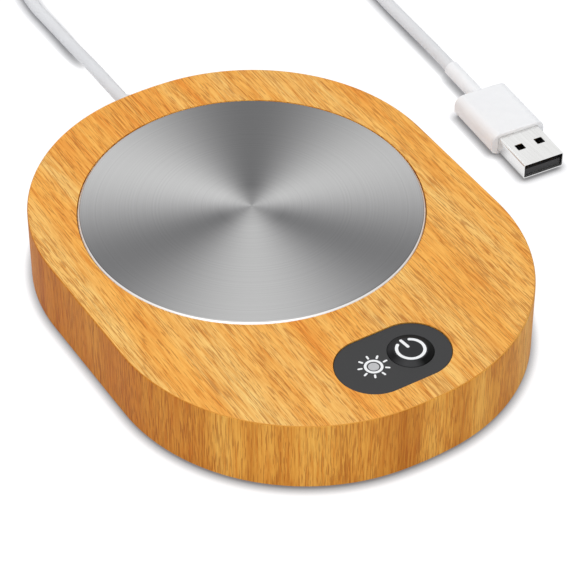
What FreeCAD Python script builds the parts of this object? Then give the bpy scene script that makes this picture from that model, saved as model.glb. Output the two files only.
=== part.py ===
import FreeCAD, Part
import math
import os
import Sketcher
from FreeCAD import Vector

# Electric mug warmer: a milled wooden case with a round metal hot plate let into its top, a small
# control panel with a power button and a sun-shaped indicator, and a USB cord out of its back.
# Frame: millimetres, origin on the table under the middle of the case, +Z up, +Y to the cord end,
# -Y to the control panel.

document = FreeCAD.newDocument("MugWarmer")
sheet = document.addObject("Spreadsheet::Sheet", "Sizes")
row_count = 0


class Size:
    """A number together with the sheet formula that gives it, so that each is written once."""

    def __init__(self, number, text):
        self.number = float(number)
        self.text = text

    def __add__(self, other):
        other = as_size(other)
        return Size(self.number + other.number, f"({self.text} + {other.text})")

    def __sub__(self, other):
        other = as_size(other)
        return Size(self.number - other.number, f"({self.text} - {other.text})")

    def __mul__(self, other):
        other = as_size(other)
        return Size(self.number * other.number, f"({self.text} * {other.text})")

    def __truediv__(self, other):
        other = as_size(other)
        return Size(self.number / other.number, f"({self.text} / {other.text})")

    def __radd__(self, other):
        return as_size(other) + self

    def __rsub__(self, other):
        return as_size(other) - self

    def __rmul__(self, other):
        return as_size(other) * self

    def __neg__(self):
        return Size(-self.number, f"(0 - {self.text})")

    def __float__(self):
        return self.number


def as_size(value):
    if isinstance(value, Size):
        return value
    return Size(value, f"({float(value)})")


def root(value):
    return Size(math.sqrt(value.number), f"sqrt({value.text})")


def cell(alias, number, note):
    """One driving dimension: a row of the sheet."""
    global row_count
    row_count += 1
    sheet.set(f"A{row_count}", note)
    sheet.set(f"B{row_count}", str(number))
    sheet.setAlias(f"B{row_count}", alias)
    return Size(number, f"Sizes.{alias}")


# Case
case_length = cell("case_length", 134.4, "case, front to back")
case_width = cell("case_width", 105.0, "case, side to side")
case_height = cell("case_height", 19.0, "wooden block, bottom to top")
end_radius = cell("end_radius", 94.5, "shallow arc across each end")
corner_radius = cell("corner_radius", 49.35, "large round of each corner")
edge_round = cell("edge_round", 0.5, "sanded top edge")
foot_drop = cell("foot_drop", 1.0, "how far the feet stand out under the case")
cavity_inset = cell("cavity_inset", 11.0, "wall round the main cavity")
cover_inset = cell("cover_inset", 3.5, "rim of wood round the bottom cover")
cover_thick = cell("cover_thick", 2.0, "bottom cover")
cover_gap = cell("cover_gap", 0.25, "bottom cover to its rebate")
skin_thick = cell("skin_thick", 5.5, "wood over the cavity")
pocket_length = cell("pocket_length", 43.0, "front pocket for the board, side to side")
pocket_wall = cell("pocket_wall", 5.5, "wood in front of the front pocket")
pocket_depth = cell("pocket_depth", 26.0, "front pocket, front to back")
pocket_corner = cell("pocket_corner", 4.0, "corner of the front pocket")

# Hot plate and what heats it
plate_radius = cell("plate_radius", 42.5, "hot plate")
plate_inset = cell("plate_inset", 55.1, "hot plate centre, in from the back of the case")
plate_thick = cell("plate_thick", 2.0, "hot plate")
plate_proud = cell("plate_proud", 0.3, "hot plate above the wood")
plate_chamfer = cell("plate_chamfer", 0.6, "bright bevel round the hot plate")
plate_gap = cell("plate_gap", 0.2, "hot plate to the wood round it")
ledge_width = cell("ledge_width", 4.0, "ledge that the hot plate stands on")
gasket_thick = cell("gasket_thick", 0.8, "silicone ring under the hot plate")
gasket_width = cell("gasket_width", 3.2, "silicone ring, across the band")
heater_inset = cell("heater_inset", 7.5, "film heater, in from the edge of the hot plate")
heater_thick = cell("heater_thick", 0.4, "film heater")
pad_inset = cell("pad_inset", 6.5, "insulation pad, in from the edge of the hot plate")
clamp_plate_inset = cell("clamp_plate_inset", 1.5, "pressure plate, in from the edge of the hot plate")
clamp_plate_thick = cell("clamp_plate_thick", 0.8, "pressure plate")
stud_inset = cell("stud_inset", 12.5, "three studs, in from the edge of the hot plate")
stud_radius = cell("stud_radius", 2.5, "stud under the hot plate")
stud_short = cell("stud_short", 0.4, "stud end above the pressure plate")
stud_clear = cell("stud_clear", 0.4, "stud to the hole in heater and pad")
clamp_screw_radius = cell("clamp_screw_radius", 1.4, "clamp screw shank")
clamp_screw_head = cell("clamp_screw_head", 2.8, "clamp screw head")
clamp_screw_high = cell("clamp_screw_high", 1.6, "clamp screw head, height")
clamp_screw_reach = cell("clamp_screw_reach", 2.6, "clamp screw inside its stud")
sensor_hole = cell("sensor_hole", 3.0, "hole for the sensor in pad and pressure plate")
sensor_radius = cell("sensor_radius", 1.3, "temperature sensor bead")
sensor_high = cell("sensor_high", 2.4, "temperature sensor bead")
lead_slot = cell("lead_slot", 9.0, "slot for the heater leads, side to side")
lead_slot_deep = cell("lead_slot_deep", 4.5, "slot for the heater leads, front to back")
lead_slot_inset = cell("lead_slot_inset", 10.5, "slot centre, in from the edge of the hot plate")
fuse_radius = cell("fuse_radius", 1.9, "thermal fuse")
fuse_length = cell("fuse_length", 12.0, "thermal fuse")
fuse_x = cell("fuse_x", 15.0, "thermal fuse, left of the middle")
fuse_back = cell("fuse_back", 13.0, "thermal fuse, behind the plate centre")

# Control panel, button and indicator
panel_inset = cell("panel_inset", 16.1, "control panel centre, in from the front of the case")
panel_half = cell("panel_half", 14.4, "half length of the control panel")
panel_radius = cell("panel_radius", 9.2, "round ends of the control panel")
panel_thick = cell("panel_thick", 2.0, "control panel plate")
panel_sunk = cell("panel_sunk", 0.2, "control panel below the wood")
panel_gap = cell("panel_gap", 0.2, "control panel to the wood round it")
panel_ledge = cell("panel_ledge", 1.8, "ledge under the control panel")
skirt_wall = cell("skirt_wall", 0.9, "skirt under the control panel")
skirt_high = cell("skirt_high", 2.2, "skirt under the control panel")
button_x = cell("button_x", 4.8, "power button, right of the middle")
button_radius = cell("button_radius", 5.4, "power button where it meets the panel")
button_top = cell("button_top", 3.9, "flat top of the power button")
button_proud = cell("button_proud", 0.65, "power button above the panel")
button_gap = cell("button_gap", 0.15, "power button to its hole")
button_flange = cell("button_flange", 0.7, "flange of the button past its side")
button_flange_thick = cell("button_flange_thick", 0.8, "flange of the button")
button_travel = cell("button_travel", 0.4, "how far the button goes down")
stem_radius = cell("stem_radius", 1.6, "stem under the button")
stem_gap = cell("stem_gap", 0.1, "stem to the switch plunger")
lens_x = cell("lens_x", 5.3, "sun indicator, left of the middle")
lens_radius = cell("lens_radius", 1.3, "light guide")
lens_flange = cell("lens_flange", 0.6, "collar of the light guide, past its side and high")
lens_gap = cell("lens_gap", 0.05, "light guide in its hole")
lens_above = cell("lens_above", 0.4, "light guide above the lamp")

# Circuit board and what stands on it
board_length = cell("board_length", 39.0, "circuit board, side to side")
board_width = cell("board_width", 19.0, "circuit board, front to back")
board_thick = cell("board_thick", 1.6, "circuit board")
board_drop = cell("board_drop", 4.5, "circuit board below the wood over it")
board_corner = cell("board_corner", 2.0, "corner of the circuit board")
board_screw_x = cell("board_screw_x", 16.2, "board screws, from the middle")
spacer_radius = cell("spacer_radius", 2.6, "spacer over the circuit board")
spacer_bore = cell("spacer_bore", 1.3, "bore of the spacer")
board_screw_radius = cell("board_screw_radius", 1.1, "board screw shank")
board_screw_head = cell("board_screw_head", 2.2, "board screw head")
board_screw_high = cell("board_screw_high", 1.4, "board screw head, height")
board_screw_bite = cell("board_screw_bite", 3.0, "board screw in the wood")
switch_side = cell("switch_side", 6.2, "push switch, each side")
switch_high = cell("switch_high", 2.9, "push switch body")
switch_well = cell("switch_well", 2.7, "round well in the push switch")
switch_floor = cell("switch_floor", 0.8, "floor of the push switch")
switch_sheet = cell("switch_sheet", 0.3, "metal cover of the push switch")
plunger_radius = cell("plunger_radius", 1.7, "switch plunger")
plunger_flange = cell("plunger_flange", 2.3, "flange of the switch plunger")
plunger_flange_thick = cell("plunger_flange_thick", 0.5, "flange of the switch plunger")
plunger_gap = cell("plunger_gap", 0.3, "switch plunger in the metal cover")
dome_thick = cell("dome_thick", 0.12, "snap dome sheet")
dome_radius = cell("dome_radius", 2.3, "snap dome, where it stands")
lamp_radius = cell("lamp_radius", 1.5, "indicator lamp")
lamp_high = cell("lamp_high", 3.2, "indicator lamp with its round top")
plug_block_wide = cell("plug_block_wide", 13.0, "wire connector, side to side")
plug_block_deep = cell("plug_block_deep", 4.6, "wire connector, front to back")
plug_block_high = cell("plug_block_high", 3.4, "wire connector, height")

# Fasteners and feet of the bottom cover
cover_screw_inset = cell("cover_screw_inset", 7.2, "cover screws, in from the edge of the case")
cover_screw_radius = cell("cover_screw_radius", 1.3, "cover screw shank")
cover_screw_head = cell("cover_screw_head", 2.7, "cover screw head")
cover_screw_sink = cell("cover_screw_sink", 1.4, "countersink of the cover screws")
cover_screw_bite = cell("cover_screw_bite", 6.0, "cover screw in the wood")
cover_screw_gap = cell("cover_screw_gap", 0.1, "cover screw to its hole")
screw_way_x = cell("screw_way_x", 0.5736, "direction of a corner screw, across")
screw_way_y = cell("screw_way_y", 0.8192, "direction of a corner screw, along")
foot_radius = cell("foot_radius", 6.0, "rubber foot")
foot_sunk = cell("foot_sunk", 0.5, "rubber foot in its recess")
foot_reach = cell("foot_reach", 34.0, "rubber foot from the centre of the corner arc")
foot_way = cell("foot_way", 0.7071, "direction of a foot, across and along alike")

# Cord and its strain relief
cord_diameter = cell("cord_diameter", 3.4, "cord")
exit_height = cell("exit_height", 9.5, "cord where it leaves the case, above the table")
grommet_out = cell("grommet_out", 9.8, "strain relief outside the case")
grommet_collar = cell("grommet_collar", 4.2, "strain relief collar against the wood")
grommet_collar_thick = cell("grommet_collar_thick", 1.4, "strain relief collar")
grommet_neck = cell("grommet_neck", 3.2, "strain relief in the wall")
grommet_root = cell("grommet_root", 3.0, "strain relief taper, at the collar")
grommet_tip = cell("grommet_tip", 2.35, "strain relief taper, at its end")
grommet_bore_gap = cell("grommet_bore_gap", 0.05, "cord in the strain relief")
grommet_hole_gap = cell("grommet_hole_gap", 0.1, "strain relief in the wall")
grommet_flange = cell("grommet_flange", 1.6, "strain relief flange inside the case")
grommet_seat = cell("grommet_seat", 0.15, "strain relief flange to the curved wall")
stop_length = cell("stop_length", 3.0, "band on the cord inside the case")
stop_wall = cell("stop_wall", 1.6, "band on the cord inside the case")
inner_length = cell("inner_length", 20.0, "cord inside the case, from the wall")
wire_radius = cell("wire_radius", 0.6, "insulated wires inside the case")

# USB plug, lying on the table and pointing to the front
shell_width = cell("shell_width", 12.0, "metal shell")
shell_height = cell("shell_height", 4.5, "metal shell")
shell_wall = cell("shell_wall", 0.3, "metal shell sheet")
shell_out = cell("shell_out", 12.8, "metal shell past the grip")
shell_in = cell("shell_in", 6.0, "metal shell inside the grip")
shell_corner = cell("shell_corner", 0.6, "bend of the metal shell")
window_side = cell("window_side", 2.3, "square window in the metal shell")
window_x = cell("window_x", 2.9, "windows, from the middle")
window_back = cell("window_back", 7.0, "windows, from the mouth")
tongue_width = cell("tongue_width", 11.0, "plastic tongue in the shell")
tongue_thick = cell("tongue_thick", 1.9, "plastic tongue in the shell")
tongue_short = cell("tongue_short", 0.8, "plastic tongue behind the mouth")
contact_width = cell("contact_width", 1.0, "gold contact")
contact_thick = cell("contact_thick", 0.2, "gold contact")
contact_back = cell("contact_back", 1.2, "contact behind the tongue's end")
contact_length = cell("contact_length", 8.0, "gold contact")
grip_width = cell("grip_width", 16.0, "grip of the plug")
grip_length = cell("grip_length", 19.3, "grip of the plug")
grip_thick = cell("grip_thick", 6.4, "grip of the plug")
grip_round = cell("grip_round", 2.6, "long edges of the grip")
grip_edge = cell("grip_edge", 0.35, "end edges of the grip")
grip_gap = cell("grip_gap", 0.05, "shell in the grip")
boot_radius = cell("boot_radius", 2.1, "boot behind the grip")
boot_length = cell("boot_length", 15.1, "boot behind the grip")
boot_bore_deep = cell("boot_bore_deep", 1.5, "cord in the boot")
boot_bore_gap = cell("boot_bore_gap", 0.15, "cord in the boot, all round")
plug_x = cell("plug_x", 83.1, "mouth of the plug, right of the middle")
plug_tip_y = cell("plug_tip_y", 4.5, "mouth of the plug, behind the middle")
plug_turn = cell("plug_turn", 3.8, "plug turned clockwise from above, in degrees")

# Coil of the cord and its tie
coil_x = cell("coil_x", 50.0, "coil centre, right of the middle")
coil_y = cell("coil_y", 152.0, "coil centre, behind the middle")
coil_inner = cell("coil_inner", 14.5, "centre line of the innermost half turn")
coil_gap = cell("coil_gap", 0.5, "least gap between turns, where one climbs past another")
coil_layers = cell("coil_layers", 4, "layers of turns")
coil_steps = cell("coil_steps", 3, "half turns of a layer between its climbs")
tie_thick = cell("tie_thick", 0.6, "tie round the coil")
tie_width = cell("tie_width", 5.0, "tie round the coil")
tie_gap = cell("tie_gap", 0.3, "tie to the turns")
document.recompute()

# Places and heights that follow from them
plate_y = case_length / 2 - plate_inset
panel_y = case_length / 2 - panel_inset
heater_radius = plate_radius - heater_inset
pad_radius = plate_radius - pad_inset
clamp_plate_radius = plate_radius - clamp_plate_inset
stud_ring = plate_radius - stud_inset
lead_slot_back = plate_radius - lead_slot_inset
case_bottom = foot_drop
case_top = foot_drop + case_height
ceiling = case_top - skin_thick
plate_top = case_top + plate_proud
plate_under = plate_top - plate_thick
ledge_top = plate_under - gasket_thick
heater_under = plate_under - heater_thick
clamp_plate_under = ceiling - clamp_plate_thick
stud_end = ceiling + stud_short
panel_top = case_top - panel_sunk
panel_under = panel_top - panel_thick
board_top = ceiling - board_drop
board_under = board_top - board_thick
switch_top = board_top + switch_high
plunger_under = board_top + switch_floor + 1.05
cover_top = case_bottom + cover_thick
button_under = panel_under - button_gap - button_flange_thick
lamp_top = board_top + lamp_high

# Centres of the arcs of the outline
corner_x = case_width / 2 - corner_radius
end_y = case_length / 2 - end_radius
corner_rise = root((end_radius - corner_radius) * (end_radius - corner_radius) - corner_x * corner_x)
corner_y = end_y + corner_rise

parts = {}


def bind(thing, name, value):
    """Sets a property, by formula where the value has one."""
    if isinstance(value, Size):
        thing.setExpression(name, value.text)
    else:
        target = thing
        steps = name.split(".")
        if len(steps) == 1:
            setattr(target, name, value)
        else:
            thing.setExpression(name, str(float(value)))


def place(thing, x=0, y=0, z=0):
    for axis, value in (("x", x), ("y", y), ("z", z)):
        bind(thing, f"Placement.Base.{axis}", as_size(value))


def keep(label, thing):
    """Names a finished piece."""
    thing.Label = label
    parts[label] = thing
    return thing


# Part primitives and booleans

def box(name, middle, low_y, low_z, wide, deep, high):
    """A box centred on middle across X, from low_y and low_z."""
    thing = document.addObject("Part::Box", name)
    bind(thing, "Length", as_size(wide))
    bind(thing, "Width", as_size(deep))
    bind(thing, "Height", as_size(high))
    place(thing, as_size(middle) - as_size(wide) / 2, low_y, low_z)
    return thing


def cylinder(name, radius, x, y, low, high):
    """An upright cylinder from height low to height high."""
    thing = document.addObject("Part::Cylinder", name)
    bind(thing, "Radius", as_size(radius))
    bind(thing, "Height", as_size(high) - as_size(low))
    place(thing, x, y, low)
    return thing


def cone(name, radius_low, radius_high, x, y, low, high):
    thing = document.addObject("Part::Cone", name)
    bind(thing, "Radius1", as_size(radius_low))
    bind(thing, "Radius2", as_size(radius_high))
    bind(thing, "Height", as_size(high) - as_size(low))
    place(thing, x, y, low)
    return thing


def lay_along_x(thing):
    thing.Placement.Rotation = FreeCAD.Rotation(Vector(0, 1, 0), 90)
    return thing


def lay_along_y(thing):
    thing.Placement.Rotation = FreeCAD.Rotation(Vector(1, 0, 0), -90)
    return thing


def fuse(name, *things):
    thing = document.addObject("Part::MultiFuse", name)
    thing.Shapes = list(things)
    return thing


def cut(name, base, *tools):
    thing = document.addObject("Part::Cut", name)
    thing.Base = base
    thing.Tool = tools[0] if len(tools) == 1 else fuse(name + "_tools", *tools)
    return thing


def group(label, *things):
    """Separate solids that share one node."""
    thing = document.addObject("Part::Compound", label)
    thing.Links = list(things)
    return keep(label, thing)


# Bodies, sketches and their features

def turn_clockwise(thing, angle):
    """Turns a thing about the upright line through its own origin, as seen from above."""
    thing.Placement.Rotation = FreeCAD.Rotation(Vector(0, 0, 1), -as_size(angle).number)


def new_body(label, x=0, y=0, z=0, turn=0):
    body = document.addObject("PartDesign::Body", label)
    place(body, x, y, z)
    turn_clockwise(body, turn)
    return keep(label, body)


def new_sketch(body, name, role="XY_Plane", offset=0):
    sketch = body.newObject("Sketcher::SketchObject", name)
    plane = [item for item in body.Origin.OriginFeatures if item.Role == role][0]
    sketch.AttachmentSupport = (plane, [""])
    sketch.MapMode = "FlatFace"
    bind(sketch, "AttachmentOffset.Base.z", as_size(offset))
    return sketch


def dimension(sketch, kind, *details):
    """A dimension whose value, the last of the details, may be a formula."""
    value = as_size(details[-1])
    index = sketch.addConstraint(Sketcher.Constraint(kind, *details[:-1], value.number))
    sketch.setExpression(f"Constraints[{index}]", value.text)


def fix_point(sketch, item, point, x, y):
    """Holds one point at a distance from both axes."""
    for kind, value, axis in (("DistanceX", as_size(x), -2), ("DistanceY", as_size(y), -1)):
        if abs(value.number) < 1e-9:
            sketch.addConstraint(Sketcher.Constraint("PointOnObject", item, point, axis))
        elif value.number > 0:
            dimension(sketch, kind, -1, 1, item, point, value)
        else:
            dimension(sketch, kind, item, point, -1, 1, -value)


def draw_circle(sketch, x, y, radius):
    x, y, radius = as_size(x), as_size(y), as_size(radius)
    item = sketch.addGeometry(Part.Circle(Vector(x.number, y.number, 0), Vector(0, 0, 1), radius.number))
    fix_point(sketch, item, 3, x, y)
    dimension(sketch, "Radius", item, radius)


def draw_profile(sketch, points):
    """A closed chain of straight lines through the points."""
    count = len(points)
    plain = [Vector(float(x), float(y), 0) for x, y in points]
    first = None
    for index in range(count):
        item = sketch.addGeometry(Part.LineSegment(plain[index], plain[(index + 1) % count]))
        first = item if first is None else first
    for index in range(count):
        following = first + (index + 1) % count
        sketch.addConstraint(Sketcher.Constraint("Coincident", first + index, 2, following, 1))
    for index in range(count):
        fix_point(sketch, first + index, 1, *points[index])


def arc_between(centre, radius, start, stop):
    circle = Part.Circle(Vector(centre[0], centre[1], 0), Vector(0, 0, 1), radius)
    return Part.ArcOfCircle(circle, start, stop)


def draw_stadium(sketch, x, y, half_length, radius):
    """Two straight sides and two round ends, lying along the first axis of the sketch."""
    x, y = as_size(x), as_size(y)
    half_length, radius = as_size(half_length), as_size(radius)
    reach = (half_length - radius).number
    quarter = math.pi / 2
    right = sketch.addGeometry(arc_between((x.number + reach, y.number), radius.number, -quarter, quarter))
    top = sketch.addGeometry(Part.LineSegment(
        Vector(x.number + reach, y.number + radius.number, 0),
        Vector(x.number - reach, y.number + radius.number, 0)))
    left = sketch.addGeometry(arc_between((x.number - reach, y.number), radius.number, quarter, 3 * quarter))
    low = sketch.addGeometry(Part.LineSegment(
        Vector(x.number - reach, y.number - radius.number, 0),
        Vector(x.number + reach, y.number - radius.number, 0)))
    for first, first_point, second, second_point in (
            (right, 2, top, 1), (top, 2, left, 1), (left, 2, low, 1), (low, 2, right, 1)):
        sketch.addConstraint(Sketcher.Constraint("Tangent", first, first_point, second, second_point))
    dimension(sketch, "Radius", right, radius)
    fix_point(sketch, right, 3, x + half_length - radius, y)
    fix_point(sketch, left, 3, x - half_length + radius, y)


def draw_rounded_box(sketch, x, y, wide, high, radius):
    """A rectangle with round corners, centred on x and y."""
    x, y = as_size(x), as_size(y)
    wide, high, radius = as_size(wide), as_size(high), as_size(radius)
    across = (wide / 2 - radius).number
    along = (high / 2 - radius).number
    quarter = math.pi / 2
    middle = (x.number, y.number)
    corners = []
    for turn, (side_x, side_y) in enumerate(((1, 1), (-1, 1), (-1, -1), (1, -1))):
        centre = (middle[0] + side_x * across, middle[1] + side_y * along)
        corners.append(sketch.addGeometry(
            arc_between(centre, radius.number, turn * quarter, (turn + 1) * quarter)))
    ways = ((0, 1), (-1, 0), (0, -1), (1, 0))
    for turn in range(4):
        this, following = corners[turn], corners[(turn + 1) % 4]
        start = sketch.getPoint(this, 2)
        stop = sketch.getPoint(following, 1)
        line = sketch.addGeometry(Part.LineSegment(start, stop))
        sketch.addConstraint(Sketcher.Constraint("Tangent", this, 2, line, 1))
        sketch.addConstraint(Sketcher.Constraint("Tangent", line, 2, following, 1))
    for this in corners[1:]:
        sketch.addConstraint(Sketcher.Constraint("Equal", corners[0], this))
    dimension(sketch, "Radius", corners[0], radius)
    fix_point(sketch, corners[0], 3, x + wide / 2 - radius, y + high / 2 - radius)
    fix_point(sketch, corners[2], 3, x - wide / 2 + radius, y - high / 2 + radius)


def draw_outline(sketch, inset):
    """The case seen from above, drawn in by inset: two sides, four corner arcs and two end arcs."""
    inset = as_size(inset)
    side = case_width / 2 - inset
    corner = corner_radius - inset
    end = end_radius - inset
    lean = math.atan2(corner_rise.number, corner_x.number)
    x, y = corner_x.number, corner_y.number
    half_turn = math.pi
    arcs = (
        ((x, y), corner, 0, lean),
        ((0, end_y.number), end, lean, half_turn - lean),
        ((-x, y), corner, half_turn - lean, half_turn),
        None,
        ((-x, -y), corner, half_turn, half_turn + lean),
        ((0, -end_y.number), end, half_turn + lean, 2 * half_turn - lean),
        ((x, -y), corner, 2 * half_turn - lean, 2 * half_turn),
        None)
    sides = {3: -side.number, 7: side.number}
    items = []
    for index, arc in enumerate(arcs):
        if arc is None:
            across = sides[index]
            start, stop = (y, -y) if across < 0 else (-y, y)
            shape = Part.LineSegment(Vector(across, start, 0), Vector(across, stop, 0))
        else:
            shape = arc_between(arc[0], arc[1].number, arc[2], arc[3])
        items.append(sketch.addGeometry(shape))
    for index, item in enumerate(items):
        following = items[(index + 1) % len(items)]
        sketch.addConstraint(Sketcher.Constraint("Coincident", item, 2, following, 1))
    right_back, back, left_back, left, left_front, front, right_front, right = items
    fix_point(sketch, right_back, 3, corner_x, corner_y)
    fix_point(sketch, left_back, 3, -corner_x, corner_y)
    fix_point(sketch, left_front, 3, -corner_x, -corner_y)
    fix_point(sketch, right_front, 3, corner_x, -corner_y)
    fix_point(sketch, back, 3, 0, end_y)
    fix_point(sketch, front, 3, 0, -end_y)
    dimension(sketch, "Radius", back, end)
    dimension(sketch, "Radius", front, end)
    tangent_x = corner_x + corner * corner_x / (end_radius - corner_radius)
    for item, point, sign in ((right_back, 2, 1), (left_back, 1, -1)):
        place_across(sketch, item, point, sign, tangent_x)
    for item, point, sign in ((left_front, 2, -1), (right_front, 1, 1)):
        place_across(sketch, item, point, sign, tangent_x)
    for item, point, level in ((right_back, 1, corner_y), (left_back, 2, corner_y)):
        dimension(sketch, "DistanceY", -1, 1, item, point, level)
    for item, point, level in ((left_front, 1, corner_y), (right_front, 2, corner_y)):
        dimension(sketch, "DistanceY", item, point, -1, 1, level)


def place_across(sketch, item, point, sign, distance):
    if sign > 0:
        dimension(sketch, "DistanceX", -1, 1, item, point, distance)
    else:
        dimension(sketch, "DistanceX", item, point, -1, 1, distance)


def pad(body, sketch, length, reverse=False):
    feature = body.newObject("PartDesign::Pad", sketch.Name + "_pad")
    feature.Profile = sketch
    bind(feature, "Length", as_size(length))
    feature.Reversed = reverse
    sketch.Visibility = False
    return feature


def pocket(body, sketch, depth):
    """Cuts from the sketch along its normal, and makes sure that something was cut."""
    document.recompute()
    before = body.Shape.Volume
    feature = body.newObject("PartDesign::Pocket", sketch.Name + "_pocket")
    feature.Profile = sketch
    bind(feature, "Length", as_size(depth))
    feature.Reversed = True
    document.recompute()
    if not body.Shape.Volume < before - 1e-3:
        raise ValueError(f"{sketch.Name} cuts nothing")
    return feature


def revolve(body, sketch):
    feature = body.newObject("PartDesign::Revolution", sketch.Name + "_turned")
    feature.Profile = sketch
    feature.ReferenceAxis = (sketch, ["V_Axis"])
    feature.Angle = 360
    return feature


def round_edges(body, kind, size, test):
    """Fillets or chamfers the edges of the body that pass the test."""
    document.recompute()
    base = body.Tip
    names = [f"Edge{index + 1}" for index, edge in enumerate(base.Shape.Edges) if test(edge)]
    if not names:
        raise ValueError(f"{body.Label} has no edge to work on")
    feature = body.newObject("PartDesign::" + kind, f"{body.Name}_{kind.lower()}")
    feature.Base = (base, names)
    bind(feature, "Radius" if kind == "Fillet" else "Size", size)
    return feature


def level_edge(height):
    """A test for edges that lie flat at one height."""
    def test(edge):
        bounds = edge.BoundBox
        return abs(bounds.ZMin - height.number) < 1e-4 and abs(bounds.ZMax - height.number) < 1e-4
    return test


# Tubes along a route of straight runs joined by tangent arcs

ARC_SHARE = 0.45


def route_edges(points, name):
    """The runs and arcs of a route. Each arc is as large as its two runs allow."""
    corners = [Vector(*point) for point in points]
    edges = []
    radii = []
    here = corners[0]
    for index in range(1, len(corners) - 1):
        corner = corners[index]
        inward = corner - corners[index - 1]
        outward = corners[index + 1] - corner
        reach = ARC_SHARE * min(inward.Length, outward.Length)
        inward.normalize()
        outward.normalize()
        turn = inward.getAngle(outward)
        radius = reach / math.tan(turn / 2)
        towards = outward - inward
        towards.normalize()
        start = corner - inward * reach
        stop = corner + outward * reach
        middle = corner + towards * (radius / math.cos(turn / 2) - radius)
        edges.append(Part.LineSegment(here, start).toShape())
        edges.append(Part.Arc(start, middle, stop).toShape())
        radii.append(radius)
        here = stop
    edges.append(Part.LineSegment(here, corners[-1]).toShape())
    print(name, "arc radii:", ", ".join(f"{radius:.1f}" for radius in radii))
    return edges


def tube_shape(edges, radius, name):
    """A round tube on the edges, with its volume held against section times length."""
    wire = Part.Wire(edges)
    start = edges[0].firstVertex().Point
    way = edges[0].tangentAt(edges[0].FirstParameter)
    ring = Part.Wire(Part.Circle(start, way, radius).toShape())
    solid = wire.makePipeShell([ring], True, False)
    expected = math.pi * radius * radius * wire.Length
    print(f"{name}: {wire.Length:.1f} mm long, volume {solid.Volume / expected:.4f} of section times length")
    if abs(solid.Volume / expected - 1) > 0.01:
        raise ValueError(f"{name} isn't a clean tube")
    return solid


def add_shape(label, shape):
    thing = document.addObject("Part::Feature", label)
    thing.Shape = shape
    return keep(label, thing)


# Wooden case: one block, milled from below, with the seats of plate and panel cut from above
case = new_body("wooden_case")
block_sketch = new_sketch(case, "block", offset=case_bottom)
draw_outline(block_sketch, 0)
pad(case, block_sketch, case_height)

rebate_sketch = new_sketch(case, "cover_rebate", offset=case_bottom)
draw_outline(rebate_sketch, cover_inset)
pocket(case, rebate_sketch, cover_thick)

cavity_sketch = new_sketch(case, "cavity", offset=cover_top)
draw_outline(cavity_sketch, cavity_inset)
pocket(case, cavity_sketch, ceiling - cover_top)

pocket_front = -(case_length / 2 - pocket_wall)
front_sketch = new_sketch(case, "front_pocket", offset=cover_top)
draw_rounded_box(front_sketch, 0, pocket_front + pocket_depth / 2, pocket_length, pocket_depth, pocket_corner)
pocket(case, front_sketch, ceiling - cover_top)

seat_sketch = new_sketch(case, "plate_seat", offset=ledge_top)
draw_circle(seat_sketch, 0, plate_y, plate_radius + plate_gap)
pocket(case, seat_sketch, case_top - ledge_top)

ledge_sketch = new_sketch(case, "plate_opening", offset=ceiling)
draw_circle(ledge_sketch, 0, plate_y, plate_radius - ledge_width)
pocket(case, ledge_sketch, ledge_top - ceiling)

panel_seat_sketch = new_sketch(case, "panel_seat", offset=panel_under)
draw_stadium(panel_seat_sketch, 0, -panel_y, panel_half + panel_gap, panel_radius + panel_gap)
pocket(case, panel_seat_sketch, case_top - panel_under)

panel_hole_sketch = new_sketch(case, "panel_opening", offset=ceiling)
draw_stadium(panel_hole_sketch, 0, -panel_y, panel_half - panel_ledge, panel_radius - panel_ledge)
pocket(case, panel_hole_sketch, panel_under - ceiling)

wall_hole_sketch = new_sketch(case, "cord_hole", "XZ_Plane", offset=-case_length / 2)
draw_circle(wall_hole_sketch, 0, exit_height, grommet_neck + grommet_hole_gap)
pocket(case, wall_hole_sketch, cavity_inset + grommet_flange)

corner_screw_reach = corner_radius - cover_screw_inset
corner_screw_x = corner_x + corner_screw_reach * screw_way_x
corner_screw_y = corner_y + corner_screw_reach * screw_way_y
side_screw_x = case_width / 2 - cover_screw_inset
screw_spots = [
    (corner_screw_x, corner_screw_y), (-corner_screw_x, corner_screw_y),
    (corner_screw_x, -corner_screw_y), (-corner_screw_x, -corner_screw_y),
    (side_screw_x, 0), (-side_screw_x, 0)]
screw_hole_sketch = new_sketch(case, "screw_holes", offset=cover_top)
for spot_x, spot_y in screw_spots:
    draw_circle(screw_hole_sketch, spot_x, spot_y, cover_screw_radius + cover_screw_gap)
pocket(case, screw_hole_sketch, cover_screw_bite + cover_screw_gap)

board_hole_sketch = new_sketch(case, "board_screw_holes", offset=ceiling)
for side in (1, -1):
    draw_circle(board_hole_sketch, side * board_screw_x, -panel_y, board_screw_radius + cover_screw_gap)
pocket(case, board_hole_sketch, board_screw_bite + cover_screw_gap)


def outer_top_edge(edge):
    """Top edges of the block itself, outside the seats of plate and panel."""
    bounds = edge.BoundBox
    if abs(bounds.ZMin - case_top.number) > 1e-4 or abs(bounds.ZMax - case_top.number) > 1e-4:
        return False
    middle = edge.valueAt((edge.FirstParameter + edge.LastParameter) / 2)
    from_plate = math.hypot(middle.x, middle.y - plate_y.number)
    near_plate = abs(from_plate - plate_radius.number - plate_gap.number) < 1e-3
    reach = panel_half.number - panel_radius.number
    over = max(abs(middle.x) - reach, 0)
    from_panel = math.hypot(over, middle.y + panel_y.number)
    near_panel = abs(from_panel - panel_radius.number - panel_gap.number) < 1e-3
    return not near_plate and not near_panel


round_edges(case, "Fillet", edge_round, outer_top_edge)

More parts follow.
